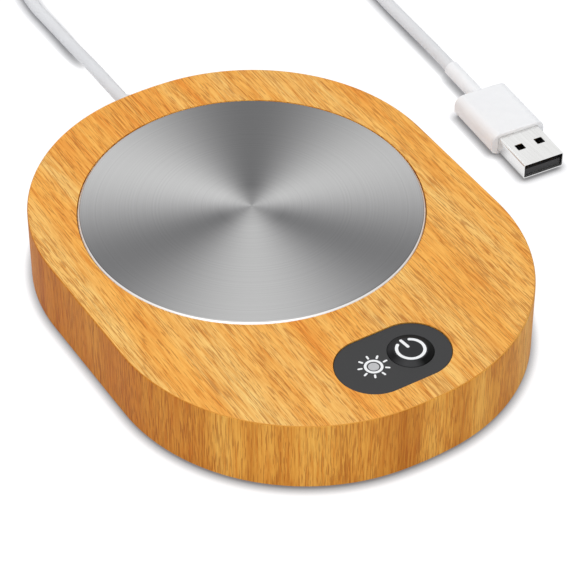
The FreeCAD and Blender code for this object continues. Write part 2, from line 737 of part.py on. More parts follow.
# Bottom cover: a flat plastic plate let into the rebate, with countersunk holes and four foot recesses
cover = new_body("bottom_cover")
cover_sketch = new_sketch(cover, "cover_plate", offset=case_bottom)
draw_outline(cover_sketch, cover_inset + cover_gap)
pad(cover, cover_sketch, cover_thick)
foot_x = corner_x + foot_reach * foot_way
foot_y = corner_y + foot_reach * foot_way
foot_spots = [(foot_x, foot_y), (-foot_x, foot_y), (foot_x, -foot_y), (-foot_x, -foot_y)]
foot_sketch = new_sketch(cover, "foot_recesses", offset=case_bottom)
for spot_x, spot_y in foot_spots:
    draw_circle(foot_sketch, spot_x, spot_y, foot_radius + cover_screw_gap)
pocket(cover, foot_sketch, foot_sunk)
cover_hole_sketch = new_sketch(cover, "cover_holes", offset=case_bottom)
for spot_x, spot_y in screw_spots:
    draw_circle(cover_hole_sketch, spot_x, spot_y, cover_screw_radius + cover_screw_gap)
pocket(cover, cover_hole_sketch, cover_thick)
document.recompute()
round_edges(
    cover, "Chamfer", cover_screw_head - cover_screw_radius,
    lambda edge: level_edge(case_bottom)(edge)
    and getattr(edge.Curve, "Radius", case_width.number) < cover_screw_head.number)

feet = []
for index, (spot_x, spot_y) in enumerate(foot_spots):
    feet.append(cylinder(f"foot_{index}", foot_radius, spot_x, spot_y, 0, foot_drop + foot_sunk))
group("rubber_feet", *feet)

screws = []
for index, (spot_x, spot_y) in enumerate(screw_spots):
    head_low = case_bottom + 0.1
    head_high = head_low + cover_screw_sink
    shank = cylinder(f"cover_shank_{index}", cover_screw_radius, spot_x, spot_y, head_low,
                     cover_top + cover_screw_bite)
    head = cone(f"cover_head_{index}", cover_screw_head - 0.25, cover_screw_radius, spot_x, spot_y,
                head_low, head_high - 0.25)
    slot_x = box(f"cover_slot_x_{index}", spot_x, spot_y - 0.3, head_low - 0.1, 2.8, 0.6, 0.8)
    slot_y = box(f"cover_slot_y_{index}", spot_x, spot_y - 1.4, head_low - 0.1, 0.6, 2.8, 0.8)
    whole = fuse(f"cover_screw_whole_{index}", shank, head)
    screws.append(cut(f"cover_screw_{index}", whole, slot_x, slot_y))
group("cover_screws", *screws)

# Hot plate: a turned disc with a bevelled rim and three tapped studs underneath
stud_spots = []
for turn in (90, 210, 330):
    way = math.radians(turn)
    stud_spots.append((stud_ring * round(math.cos(way), 5), plate_y + stud_ring * round(math.sin(way), 5)))
plate = new_body("heating_plate")
disc_sketch = new_sketch(plate, "plate_disc", offset=plate_under)
draw_circle(disc_sketch, 0, plate_y, plate_radius)
pad(plate, disc_sketch, plate_thick)
round_edges(plate, "Chamfer", plate_chamfer, level_edge(plate_top))
stud_sketch = new_sketch(plate, "plate_studs", offset=stud_end)
for spot_x, spot_y in stud_spots:
    draw_circle(stud_sketch, spot_x, spot_y, stud_radius)
pad(plate, stud_sketch, plate_under - stud_end)
tap_sketch = new_sketch(plate, "stud_holes", offset=stud_end)
for spot_x, spot_y in stud_spots:
    draw_circle(tap_sketch, spot_x, spot_y, clamp_screw_radius + cover_screw_gap)
pocket(plate, tap_sketch, clamp_screw_reach + cover_screw_gap)

# Silicone ring between the hot plate and the ledge of the wood
gasket_outer = cylinder("gasket_outer", plate_radius - 0.2, 0, plate_y, ledge_top, plate_under)
gasket_inner = cylinder("gasket_inner", plate_radius - 0.2 - gasket_width, 0, plate_y, ledge_top, plate_under)
keep("plate_gasket", cut("plate_gasket", gasket_outer, gasket_inner))


def stacked_disc(label, radius, low, high, stud_hole, with_sensor_hole):
    """A disc of the stack under the hot plate, with its stud holes, lead slot and sensor hole."""
    body = new_body(label)
    sketch = new_sketch(body, label + "_disc", offset=low)
    draw_circle(sketch, 0, plate_y, radius)
    pad(body, sketch, high - low)
    holes = new_sketch(body, label + "_holes", offset=low)
    for spot_x, spot_y in stud_spots:
        draw_circle(holes, spot_x, spot_y, stud_hole)
    if with_sensor_hole:
        draw_circle(holes, 0, plate_y, sensor_hole)
        draw_rounded_box(holes, 0, plate_y - lead_slot_back, lead_slot, lead_slot_deep, 1)
    pocket(body, holes, high - low)
    return body


stacked_disc("heater_element", heater_radius, heater_under, plate_under, stud_radius + stud_clear, False)
stacked_disc("insulation_pad", pad_radius, ceiling, heater_under, stud_radius + stud_clear, True)
stacked_disc("pressure_plate", clamp_plate_radius, clamp_plate_under, ceiling,
             clamp_screw_radius + stud_clear, True)

clamps = []
for index, (spot_x, spot_y) in enumerate(stud_spots):
    shank = cylinder(f"clamp_shank_{index}", clamp_screw_radius, spot_x, spot_y, clamp_plate_under,
                     stud_end + clamp_screw_reach)
    head = cylinder(f"clamp_head_{index}", clamp_screw_head, spot_x, spot_y,
                    clamp_plate_under - clamp_screw_high, clamp_plate_under)
    slot_x = box(f"clamp_slot_x_{index}", spot_x, spot_y - 0.35, clamp_plate_under - clamp_screw_high,
                 3.4, 0.7, 0.9)
    slot_y = box(f"clamp_slot_y_{index}", spot_x, spot_y - 1.7, clamp_plate_under - clamp_screw_high,
                 0.7, 3.4, 0.9)
    clamps.append(cut(f"clamp_screw_{index}", fuse(f"clamp_whole_{index}", shank, head), slot_x, slot_y))
group("clamp_screws", *clamps)

# Temperature sensor: a bead against the heater, in the hole of the pad
bead = cylinder("sensor_bead", sensor_radius, 0, plate_y, heater_under - sensor_high, heater_under)
keep("temperature_sensor", bead)

# Thermal fuse under the pressure plate, and the strap that holds it there
fuse_height = clamp_plate_under - fuse_radius - 0.05
fuse_centre_y = plate_y + fuse_back
fuse_body = cylinder("thermal_fuse", fuse_radius, 0, 0, 0, fuse_length)
lay_along_x(fuse_body)
place(fuse_body, -fuse_x - fuse_length / 2, fuse_centre_y, fuse_height)
keep("thermal_fuse", fuse_body)
strap_wall = 0.5
strap_high = fuse_radius * 2 + 0.15 + strap_wall
strap_low = clamp_plate_under - strap_high
strap_outer = box("strap_outer", -fuse_x, fuse_centre_y - fuse_radius - 0.1 - strap_wall, strap_low,
                  5, fuse_radius * 2 + 0.2 + 2 * strap_wall, strap_high)
strap_space = box("strap_space", -fuse_x, fuse_centre_y - fuse_radius - 0.1, strap_low + strap_wall,
                  6, fuse_radius * 2 + 0.2, strap_high)
strap_ears = box("strap_ears", -fuse_x, fuse_centre_y - fuse_radius - 3.6, clamp_plate_under - strap_wall,
                 5, fuse_radius * 2 + 7.2, strap_wall)
keep("fuse_strap", cut("fuse_strap", fuse("strap_solid", strap_outer, strap_ears), strap_space))

# Control panel: a moulded plate flush with the wood, with a skirt that finds the opening under it
panel = new_body("control_panel")
panel_sketch = new_sketch(panel, "panel_plate", offset=panel_under)
draw_stadium(panel_sketch, 0, -panel_y, panel_half, panel_radius)
pad(panel, panel_sketch, panel_thick)
skirt_sketch = new_sketch(panel, "panel_skirt", offset=panel_under - skirt_high)
skirt_half = panel_half - panel_ledge - panel_gap
skirt_radius = panel_radius - panel_ledge - panel_gap
draw_stadium(skirt_sketch, 0, -panel_y, skirt_half, skirt_radius)
draw_stadium(skirt_sketch, 0, -panel_y, skirt_half - skirt_wall, skirt_radius - skirt_wall)
pad(panel, skirt_sketch, skirt_high)
panel_holes_sketch = new_sketch(panel, "panel_holes", offset=panel_under)
draw_circle(panel_holes_sketch, button_x, -panel_y, button_radius + button_gap)
draw_circle(panel_holes_sketch, -lens_x, -panel_y, lens_radius + lens_gap)
pocket(panel, panel_holes_sketch, panel_thick)

# Power button: a low round dome with a flange under the panel and a stem down to the switch
plunger_top = switch_top + switch_sheet + 1.1
button = new_body("power_button", button_x, -panel_y, 0)
button_sketch = new_sketch(button, "button_profile", "XZ_Plane")
draw_profile(button_sketch, [
    (0, plunger_top + stem_gap), (stem_radius, plunger_top + stem_gap), (stem_radius, button_under),
    (button_radius + button_flange - 0.1, button_under),
    (button_radius + button_flange - 0.1, button_under + button_flange_thick),
    (button_radius, button_under + button_flange_thick), (button_radius, panel_top + 0.05),
    (button_top + 0.6, panel_top + 0.4), (button_top, panel_top + button_proud),
    (0, panel_top + button_proud)])
revolve(button, button_sketch)


def dome_edge(edge):
    """The two ring edges of the dome between its side and its flat top."""
    bounds = edge.BoundBox
    flat = abs(bounds.ZMax - bounds.ZMin) < 1e-4
    return flat and bounds.ZMin > panel_top.number + 0.25


round_edges(button, "Fillet", 0.3, dome_edge)

# Light guide of the sun indicator, pushed into the panel from below
guide_shaft = cylinder("guide_shaft", lens_radius, -lens_x, -panel_y, lamp_top + lens_above, panel_top)
guide_collar = cylinder("guide_collar", lens_radius + lens_flange, -lens_x, -panel_y,
                        panel_under - lens_flange, panel_under)
keep("indicator_light_guide", fuse("indicator_light_guide", guide_shaft, guide_collar))

lamp_body = cylinder("lamp_body", lamp_radius, -lens_x, -panel_y, board_top, lamp_top - lamp_radius)
lamp_dome = document.addObject("Part::Sphere", "lamp_dome")
bind(lamp_dome, "Radius", lamp_radius)
place(lamp_dome, -lens_x, -panel_y, lamp_top - lamp_radius)
lamp_rim = cylinder("lamp_rim", lamp_radius + 0.3, -lens_x, -panel_y, board_top, board_top + 0.6)
keep("indicator_lamp", fuse("indicator_lamp", lamp_body, lamp_dome, lamp_rim))

# Circuit board with its two screws and spacers
board = new_body("circuit_board")
board_sketch = new_sketch(board, "board_outline", offset=board_under)
draw_rounded_box(board_sketch, 0, -panel_y, board_length, board_width, board_corner)
for side in (1, -1):
    draw_circle(board_sketch, side * board_screw_x, -panel_y, spacer_bore)
pad(board, board_sketch, board_thick)

spacers = []
board_screws = []
for side in (1, -1):
    mark = "right" if side > 0 else "left"
    spot = side * board_screw_x
    tube = cylinder(f"spacer_{mark}", spacer_radius, spot, -panel_y, board_top, ceiling)
    bore = cylinder(f"spacer_bore_{mark}", spacer_bore, spot, -panel_y, board_top, ceiling)
    spacers.append(cut(f"spacer_tube_{mark}", tube, bore))
    shank = cylinder(f"board_shank_{mark}", board_screw_radius, spot, -panel_y, board_under,
                     ceiling + board_screw_bite)
    head = cylinder(f"board_head_{mark}", board_screw_head, spot, -panel_y,
                    board_under - board_screw_high, board_under)
    slot = box(f"board_slot_{mark}", spot, -panel_y - 0.3, board_under - board_screw_high, 2.8, 0.6, 0.7)
    slot_across = box(f"board_slot_across_{mark}", spot, -panel_y - 1.4, board_under - board_screw_high,
                      0.6, 2.8, 0.7)
    board_screws.append(cut(f"board_screw_{mark}", fuse(f"board_whole_{mark}", shank, head), slot, slot_across))
group("board_spacers", *spacers)
group("board_screws", *board_screws)

# Push switch: plastic base with a round well, snap dome, plunger and a pressed metal cover
base_block = box("switch_block", button_x, -panel_y - switch_side / 2, board_top, switch_side, switch_side,
                 switch_high)
well = cylinder("switch_well_space", switch_well, button_x, -panel_y, board_top + switch_floor, switch_top)
keep("switch_base", cut("switch_base", base_block, well))
sheet_top = box("switch_sheet_top", button_x, -panel_y - switch_side / 2, switch_top, switch_side, switch_side,
                switch_sheet)
sheet_hole = cylinder("switch_sheet_hole", plunger_radius + plunger_gap, button_x, -panel_y, switch_top,
                      switch_top + switch_sheet)
tabs = []
for side in (1, -1):
    mark = "front" if side < 0 else "back"
    tabs.append(box(f"switch_tab_{mark}", button_x,
                    -panel_y + side * (switch_side / 2 + switch_sheet / 2) - switch_sheet / 2,
                    board_top + 0.4, 3, switch_sheet, switch_high - 0.4 + switch_sheet))
keep("switch_cover", cut("switch_cover", fuse("switch_sheet_bent", sheet_top, *tabs), sheet_hole))
plunger_rod = cylinder("plunger_rod", plunger_radius, button_x, -panel_y, plunger_under, plunger_top)
plunger_disc = cylinder("plunger_disc", plunger_flange, button_x, -panel_y, plunger_under,
                        plunger_under + plunger_flange_thick)
keep("switch_plunger", fuse("switch_plunger", plunger_rod, plunger_disc))
dome_foot = board_top + switch_floor + 0.05
dome_high = plunger_under - dome_foot - 0.05
dome_sheet = new_body("snap_dome", button_x, -panel_y, dome_foot)
dome_sketch = new_sketch(dome_sheet, "dome_profile", "XZ_Plane")
draw_profile(dome_sketch, [
    (0, dome_high - dome_thick), (dome_radius / 2, dome_high - dome_thick - 0.25), (dome_radius - 0.15, 0),
    (dome_radius, 0), (dome_radius / 2 + 0.1, dome_high - 0.22), (0, dome_high)])
revolve(dome_sheet, dome_sketch)
legs = []
for side_x in (1, -1):
    for side_y in (1, -1):
        legs.append(box(f"switch_leg_{side_x}_{side_y}", button_x + side_x * (switch_side / 2 + 0.5),
                        -panel_y + side_y * 2.2 - 0.35, board_top, 0.9, 0.7, 0.25))
group("switch_legs", *legs)

# Parts under the board: controller chip with its legs, storage capacitor, power transistor, resistors
chip = box("controller_chip", -7, -panel_y - 2.5, board_under - 1.75, 6, 5, 1.5)
keep("controller_chip", chip)
chip_legs = []
for side in (1, -1):
    for index in range(4):
        chip_legs.append(box(f"chip_leg_{side}_{index}", -7 - 1.905 + 1.27 * index,
                             -panel_y + side * 3.1 - 0.55, board_under - 0.95, 0.45, 1.1, 0.95))
group("chip_legs", *chip_legs)
capacitor = cylinder("capacitor_can", 2.0, 2.4, -panel_y + 4.6, board_under - 4.0, board_under - 0.3)
capacitor_foot = box("capacitor_foot", 2.4, -panel_y + 2.4, board_under - 0.3, 4.4, 4.4, 0.3)
keep("capacitor", fuse("capacitor", capacitor, capacitor_foot))
transistor_block = box("transistor_block", 9.4, -panel_y - 3.2, board_under - 2.2, 6.2, 5.6, 2.2)
transistor_tab = box("transistor_tab", 9.4, -panel_y + 2.4, board_under - 0.6, 5.2, 1.4, 0.6)
keep("power_transistor", fuse("power_transistor", transistor_block, transistor_tab))
resistors = []
for index, (spot_x, spot_y) in enumerate(((-13.2, 4.6), (-10.4, 6.4), (-2.4, -6.0), (1.2, -6.0), (4.0, -2.0))):
    resistors.append(box(f"resistor_{index}", spot_x, -panel_y + spot_y - 0.6, board_under - 0.55, 2.0, 1.2, 0.55))
group("resistors", *resistors)

# Wire connector on the back edge of the board
connector_back = -panel_y + board_width / 2
connector = box("connector_block", -1.5, connector_back - plug_block_deep, board_top,
                plug_block_wide, plug_block_deep, plug_block_high)
keep("wire_connector", connector)

# Strain relief: flange inside, neck through the wall, collar and taper outside
wall_outside = case_length / 2
wall_inside = wall_outside - cavity_inset
grommet_end = wall_outside + grommet_out
flange_in = wall_inside - grommet_seat - grommet_flange
bore_radius = cord_diameter / 2 + grommet_bore_gap
grommet = new_body("cord_grommet", 0, 0, exit_height)
grommet_sketch = new_sketch(grommet, "grommet_profile")
draw_profile(grommet_sketch, [
    (bore_radius, flange_in), (grommet_collar, flange_in), (grommet_collar, flange_in + grommet_flange),
    (grommet_neck, flange_in + grommet_flange), (grommet_neck, wall_outside),
    (grommet_collar, wall_outside), (grommet_collar, wall_outside + grommet_collar_thick),
    (grommet_root, wall_outside + grommet_collar_thick), (grommet_tip, grommet_end),
    (bore_radius, grommet_end)])
revolve(grommet, grommet_sketch)

stop_outer = cylinder("stop_outer", cord_diameter / 2 + 0.1 + stop_wall, 0, 0, 0, stop_length)
stop_inner = cylinder("stop_inner", cord_diameter / 2 + 0.1, 0, 0, 0, stop_length)
for ring in (stop_outer, stop_inner):
    lay_along_y(ring)
    place(ring, 0, flange_in - 0.1 - stop_length, exit_height)
keep("cord_stop_band", cut("cord_stop_band", stop_outer, stop_inner))

inner_cord = cylinder("inner_cord", cord_diameter / 2, 0, 0, 0, grommet_end - (wall_outside - inner_length))
lay_along_y(inner_cord)
place(inner_cord, 0, wall_outside - inner_length, exit_height)
keep("inner_cord", inner_cord)

# Insulated wires inside the case
wire_y = connector_back.number
sheath_end = wall_outside.number - inner_length.number
wire_size = wire_radius.number
wire_level = board_top.number + 1.5
slot_y = plate_y.number - lead_slot_back.number
low_level = cover_top.number + 4


def wire_pair(label, routes):
    solids = []
    for index, route in enumerate(routes):
        name = f"{label} {index}"
        solids.append(tube_shape(route_edges(route, name), wire_size, name))
    return add_shape(label, Part.makeCompound(solids))


wire_pair("supply_leads", [
    [(side * 0.8, sheath_end, exit_height.number), (side * 0.8, sheath_end - 9, exit_height.number),
     (side * 1.0 + 14, sheath_end - 30, low_level), (side * 1.0 + 15, wire_y + 33.6, low_level - 0.5),
     (side * 0.9 + 11, wire_y + 14.6, wire_level - 3.0), (side * 0.9 + 3, wire_y + 8.6, wire_level),
     (side * 0.9 + 3, wire_y, wire_level)]
    for side in (1, -1)])
wire_pair("heater_leads", [
    [(side * 1.0 - 1.6, slot_y, heater_under.number), (side * 1.0 - 1.6, slot_y, heater_under.number - 4.5),
     (side * 1.0 - 1.6, slot_y - 7.5, wire_level), (side * 1.0 - 1.6, wire_y, wire_level + 0.02)]
    for side in (1, -1)])
bead_under = (heater_under - sensor_high).number
wire_pair("sensor_leads", [
    [(side * 0.75, plate_y.number, bead_under), (side * 0.75, plate_y.number, bead_under - 3.6),
     (side * 0.75 - 4, plate_y.number - 9, bead_under - 5.9), (side * 0.9 - 8, wire_y + 31.6, bead_under - 6.7),
     (side * 0.9 - 7, wire_y + 14.6, wire_level - 1.9), (side * 0.9 - 6, wire_y + 7.6, wire_level),
     (side * 0.9 - 6, wire_y, wire_level)]
    for side in (1, -1)])

# Free cord, first stretch: out of the strain relief, down to the table and into the coil
cord_radius = cord_diameter.number / 2
turn_pitch = (cord_diameter.number + coil_gap.number) * 7 / 6
coil_low = tie_thick.number + tie_gap.number + cord_radius
half_step = turn_pitch / 2
layers = int(coil_layers.number)
steps = int(coil_steps.number)


def coil_stations():
    """Distance from the coil's centre and height at the end of each half turn."""
    reach = coil_inner.number + (steps + 1) * half_step
    height = coil_low
    stations = [(reach, height)]
    inward = True
    for layer in range(layers):
        for step in range(steps + 1 if layer == 0 else steps):
            reach += -half_step if inward else half_step
            stations.append((reach, height))
        if layer < layers - 1:
            height += turn_pitch
            stations.append((reach, height))
            inward = not inward
    return stations


def coil_edges():
    """Half circles that spiral in and out, with two quarter arcs wherever a layer is climbed."""
    centre = Vector(coil_x.number, coil_y.number, 0)
    stations = coil_stations()
    spots = []
    for index, (reach, height) in enumerate(stations):
        side = 1 if index % 2 == 0 else -1
        spots.append(centre + Vector(0, side * reach, height))
    entry = spots[0] - Vector(cord_diameter.number, 0, 0)
    edges = [Part.LineSegment(entry, spots[0]).toShape()]
    for index in range(len(spots) - 1):
        start, stop = spots[index], spots[index + 1]
        way = Vector(1 if index % 2 == 0 else -1, 0, 0)
        across = stop - start
        middle = (start + stop) * 0.5 + way * (across.Length / 2)
        if abs(across.z) < 1e-6:
            edges.append(Part.Arc(start, middle, stop).toShape())
            continue
        for first, second, start_way in ((start, middle, way), (middle, stop, across)):
            edges.append(tangent_arc(first, second, start_way))
    last_way = Vector(1 if (len(spots) - 1) % 2 == 0 else -1, 0, 0)
    edges.append(Part.LineSegment(spots[-1], spots[-1] + last_way * cord_diameter.number).toShape())
    return edges, entry, spots[-1] + last_way * cord_diameter.number


def tangent_arc(start, stop, way):
    """The arc from start to stop that leaves start along way."""
    way = Vector(way)
    way.normalize()
    chord = stop - start
    lean = way.getAngle(chord)
    halfway = (start + stop) * 0.5
    outward = way * chord.Length - chord * math.cos(lean)
    outward.normalize()
    bulge = chord.Length / 2 * math.tan(lean / 2)
    return Part.Arc(start, halfway + outward * bulge, stop).toShape()


winding, coil_entry, coil_leave = coil_edges()
lead_route = [
    (0, grommet_end.number, exit_height.number), (0, grommet_end.number + 11, exit_height.number),
    (1.9, 99.8, 6.4), (3.8, 113.1, 2.6), (4.3, 125.0, cord_radius), (4.0, 141.5, cord_radius),
    (8.5, 159.5, cord_radius), (21.5, 172.5, cord_radius + 0.1), (36.0, coil_entry.y, coil_entry.z),
    (coil_entry.x, coil_entry.y, coil_entry.z)]
add_shape("cord_lead", tube_shape(route_edges(lead_route, "cord_lead"), cord_radius, "cord_lead"))

# Coil of the length that is put away
coil_solid = tube_shape(winding, cord_radius, "cord_coil")
add_shape("cord_coil", coil_solid)
trace = Part.Wire(winding).discretize(Distance=1.5)
least = 1e9
skip = int(4 * cord_diameter.number / 1.5)
for first in range(len(trace)):
    for second in range(first + skip, len(trace)):
        least = min(least, trace[first].distanceToPoint(trace[second]))
print(f"coil: least gap to itself {least - cord_diameter.number:.2f} mm")
if least - cord_diameter.number < 0.4:
    raise ValueError("the turns of the coil are too near each other")

# Tie round the side of the coil that faces the case
heights = [height for reach, height in coil_stations()]
tie_inner_low = coil_inner.number - cord_radius - 2 * tie_gap.number
tie_inner_high = coil_inner.number + steps * half_step + cord_radius + tie_gap.number
bundle_top = Size(max(heights) + cord_radius, f"({max(heights) + cord_radius})")
tie = new_body("cord_tie")
tie_sketch = new_sketch(tie, "tie_loop", "YZ_Plane", offset=coil_x - tie_width / 2)
tie_middle = coil_y - (tie_inner_low + tie_inner_high) / 2
tie_inner_wide = as_size(tie_inner_high - tie_inner_low)
tie_inner_tall = bundle_top + tie_gap - tie_thick
tie_middle_z = tie_thick + tie_inner_tall / 2
draw_rounded_box(tie_sketch, tie_middle, tie_middle_z, tie_inner_wide, tie_inner_tall, 1.2)
draw_rounded_box(tie_sketch, tie_middle, tie_middle_z, tie_inner_wide + 2 * tie_thick,
                 tie_inner_tall + 2 * tie_thick, 1.2 + tie_thick)
pad(tie, tie_sketch, tie_width)

# Free cord, second stretch: off the top of the coil, down to the table and to the plug
plug_z = grip_thick / 2
grip_back = shell_out + grip_length
boot_end = grip_back + boot_length
cord_end = boot_end - boot_bore_deep
boot_bore = cord_diameter / 2 + boot_bore_gap


def along_plug(distance):
    """A point on the plug's line, at a distance behind its mouth."""
    turn = math.radians(plug_turn.number)
    back = float(distance)
    return (plug_x.number + back * math.sin(turn), plug_tip_y.number + back * math.cos(turn), plug_z.number)


tail_route = [
    (coil_leave.x, coil_leave.y, coil_leave.z), (coil_leave.x + 8.5, coil_leave.y, coil_leave.z),
    (75.5, 170.2, 9.4), (87.0, 161.0, 4.0), (94.5, 147.5, cord_radius), (96.0, 130.5, cord_radius),
    (92.8, 117.0, cord_radius), (90.3, 103.0, cord_radius), (89.0, 89.0, cord_radius), (88.3, 76.0, 2.0),
    along_plug(boot_end + 11.0), along_plug(cord_end)]
add_shape("cord_tail", tube_shape(route_edges(tail_route, "cord_tail"), cord_radius, "cord_tail"))

# USB plug: boot, grip, bent metal shell, tongue and four contacts
boot = new_body("plug_boot", plug_x, plug_tip_y, plug_z, plug_turn)
boot_sketch = new_sketch(boot, "boot_profile")
draw_profile(boot_sketch, [
    (0, grip_back), (boot_radius, grip_back), (boot_radius, boot_end - 0.1), (boot_radius - 0.1, boot_end),
    (boot_bore, boot_end), (boot_bore, cord_end), (0, cord_end)])
revolve(boot, boot_sketch)

grip = new_body("plug_grip", plug_x, plug_tip_y, 0, plug_turn)
grip_sketch = new_sketch(grip, "grip_section", "XZ_Plane", offset=-grip_back)
draw_rounded_box(grip_sketch, 0, plug_z, grip_width, grip_thick, grip_round)
pad(grip, grip_sketch, grip_length)


def grip_end_edge(edge):
    bounds = edge.BoundBox
    flat = abs(bounds.YMax - bounds.YMin) < 1e-4
    return flat


round_edges(grip, "Fillet", grip_edge, grip_end_edge)
grip_space_sketch = new_sketch(grip, "shell_space", "XZ_Plane", offset=-shell_out - shell_in - grip_gap)
draw_rounded_box(grip_space_sketch, 0, plug_z, shell_width + 2 * grip_gap, shell_height + 2 * grip_gap,
                 shell_corner + grip_gap)
pocket(grip, grip_space_sketch, shell_in + grip_gap)

shell = new_body("plug_shell", plug_x, plug_tip_y, 0, plug_turn)
shell_sketch = new_sketch(shell, "shell_section", "XZ_Plane", offset=-shell_out - shell_in)
draw_rounded_box(shell_sketch, 0, plug_z, shell_width, shell_height, shell_corner)
draw_rounded_box(shell_sketch, 0, plug_z, shell_width - 2 * shell_wall, shell_height - 2 * shell_wall,
                 shell_corner - shell_wall)
pad(shell, shell_sketch, shell_in + shell_out)
window_sketch = new_sketch(shell, "shell_windows", offset=0)
for side in (1, -1):
    draw_rounded_box(window_sketch, side * window_x, window_back, window_side, window_side, 0.2)
pocket(shell, window_sketch, grip_thick)

tongue_low = plug_z - shell_height / 2 + shell_wall + 0.05
tongue = box("tongue_block", 0, tongue_short, tongue_low, tongue_width,
             shell_out - tongue_short + shell_in, tongue_thick)
group("plug_tongue", tongue)
contacts = []
for index, spot in enumerate((-3.5, -1.0, 1.0, 3.5)):
    contacts.append(box(f"contact_{index}", spot, tongue_short + contact_back,
                        tongue_low + tongue_thick, contact_width, contact_length, contact_thick))
group("plug_contacts", *contacts)
for label in ("plug_tongue", "plug_contacts"):
    place(parts[label], plug_x, plug_tip_y, 0)
    turn_clockwise(parts[label], plug_turn)

# Check every object, then write each piece
document.recompute()
for thing in document.Objects:
    if "Invalid" in thing.State or "Error" in thing.State:
        raise ValueError(f"{thing.Label} failed: {thing.State}")
os.makedirs("parts", exist_ok=True)
for label, thing in parts.items():
    shape = thing.Shape
    if shape.isNull() or not shape.isValid():
        raise ValueError(f"{label} has no valid shape")
for label, thing in parts.items():
    thing.Shape.exportStep(f"parts/{label}.step")
print(len(parts), "pieces written")
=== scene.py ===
import bmesh
import bpy
import math
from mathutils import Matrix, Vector


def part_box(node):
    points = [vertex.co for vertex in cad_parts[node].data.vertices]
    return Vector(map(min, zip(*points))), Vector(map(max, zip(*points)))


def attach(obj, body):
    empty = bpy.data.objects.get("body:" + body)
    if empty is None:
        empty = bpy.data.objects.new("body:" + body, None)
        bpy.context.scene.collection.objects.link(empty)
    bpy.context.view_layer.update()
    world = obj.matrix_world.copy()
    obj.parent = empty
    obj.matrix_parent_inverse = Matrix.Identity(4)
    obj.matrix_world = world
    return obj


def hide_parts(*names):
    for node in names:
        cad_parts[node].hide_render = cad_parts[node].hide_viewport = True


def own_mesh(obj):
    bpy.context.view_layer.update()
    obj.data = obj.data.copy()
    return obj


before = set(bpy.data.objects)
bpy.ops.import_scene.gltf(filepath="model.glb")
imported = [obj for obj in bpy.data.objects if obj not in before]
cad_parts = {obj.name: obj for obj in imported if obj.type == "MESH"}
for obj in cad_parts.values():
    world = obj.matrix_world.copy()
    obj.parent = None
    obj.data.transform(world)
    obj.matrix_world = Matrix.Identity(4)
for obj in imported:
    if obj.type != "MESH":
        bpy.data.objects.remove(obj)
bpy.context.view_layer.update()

# Camera: the viewing angle of a product photograph, from above the control panel's end and a little to the
# left, through a long lens. It aims at the middle of the case.
camera_data = bpy.data.cameras.new("camera")
camera_data.sensor_width = 36
camera_data.lens = 166.8
camera_data.clip_start = 0.01
camera = bpy.data.objects.new("camera", camera_data)
bpy.context.scene.collection.objects.link(camera)
camera.location = (-0.2531, -0.4196, 0.4375)
aim = Vector((-0.00795, -0.01792, 0.0199)) - camera.location
camera.rotation_euler = aim.to_track_quat("-Z", "Y").to_euler()
bpy.context.scene.camera = camera

# Studio: a pale table top with a plain white surround, lit by one large soft lamp above and behind and a
# weaker one from the front. The table shows white to the camera and keeps the close shadow at the case's foot.


def linear(code):
    """An sRGB hex colour as linear light."""
    steps = [int(code[i:i + 2], 16) / 255 for i in (1, 3, 5)]
    return tuple(s / 12.92 if s <= 0.04045 else ((s + 0.055) / 1.055) ** 2.4 for s in steps) + (1,)


def add_node(tree, kind, settings=(), links=()):
    """Adds one node with its settings, by socket where one has that name, and its links."""
    node = tree.nodes.new(kind)
    for name, value in dict(settings).items():
        if isinstance(name, int) or name in node.inputs:
            node.inputs[name].default_value = value
        else:
            setattr(node, name, value)
    for name, socket in dict(links).items():
        tree.links.new(socket, node.inputs[name])
    return node


def start_finish(name, settings):
    """A new material with its main shader, the object's own coordinates in millimetres, and its tree."""
    material = bpy.data.materials.new(name)
    material.use_nodes = True
    tree = material.node_tree
    shader = tree.nodes["Principled BSDF"]
    for socket, value in settings.items():
        shader.inputs[socket].default_value = value
    place = add_node(tree, "ShaderNodeTexCoord")
    in_mm = add_node(tree, "ShaderNodeMapping", {"Scale": (1000, 1000, 1000)},
                     {"Vector": place.outputs["Object"]})
    return material, tree, shader, in_mm.outputs["Vector"]


TABLE_HALF = 4.0
table_mesh = bpy.data.meshes.new("table_top")
table_mesh.from_pydata([(-TABLE_HALF, -TABLE_HALF, 0), (TABLE_HALF, -TABLE_HALF, 0),
                        (TABLE_HALF, TABLE_HALF, 0), (-TABLE_HALF, TABLE_HALF, 0)], [], [(0, 1, 2, 3)])
table_top = bpy.data.objects.new("table_top", table_mesh)
bpy.context.scene.collection.objects.link(table_top)
table_paint, tree, shader, _ = start_finish("table_paint", {
    "Roughness": 0.9, "Base Color": linear("#f4f4f6"), "Specular IOR Level": 0.1})
ray = add_node(tree, "ShaderNodeLightPath")
seen = add_node(tree, "ShaderNodeMath", {"operation": "MAXIMUM"},
                {0: ray.outputs["Is Camera Ray"], 1: ray.outputs["Is Glossy Ray"]})
seen = add_node(tree, "ShaderNodeMath", {"operation": "MAXIMUM"},
                {0: seen.outputs[0], 1: ray.outputs["Is Transmission Ray"]})
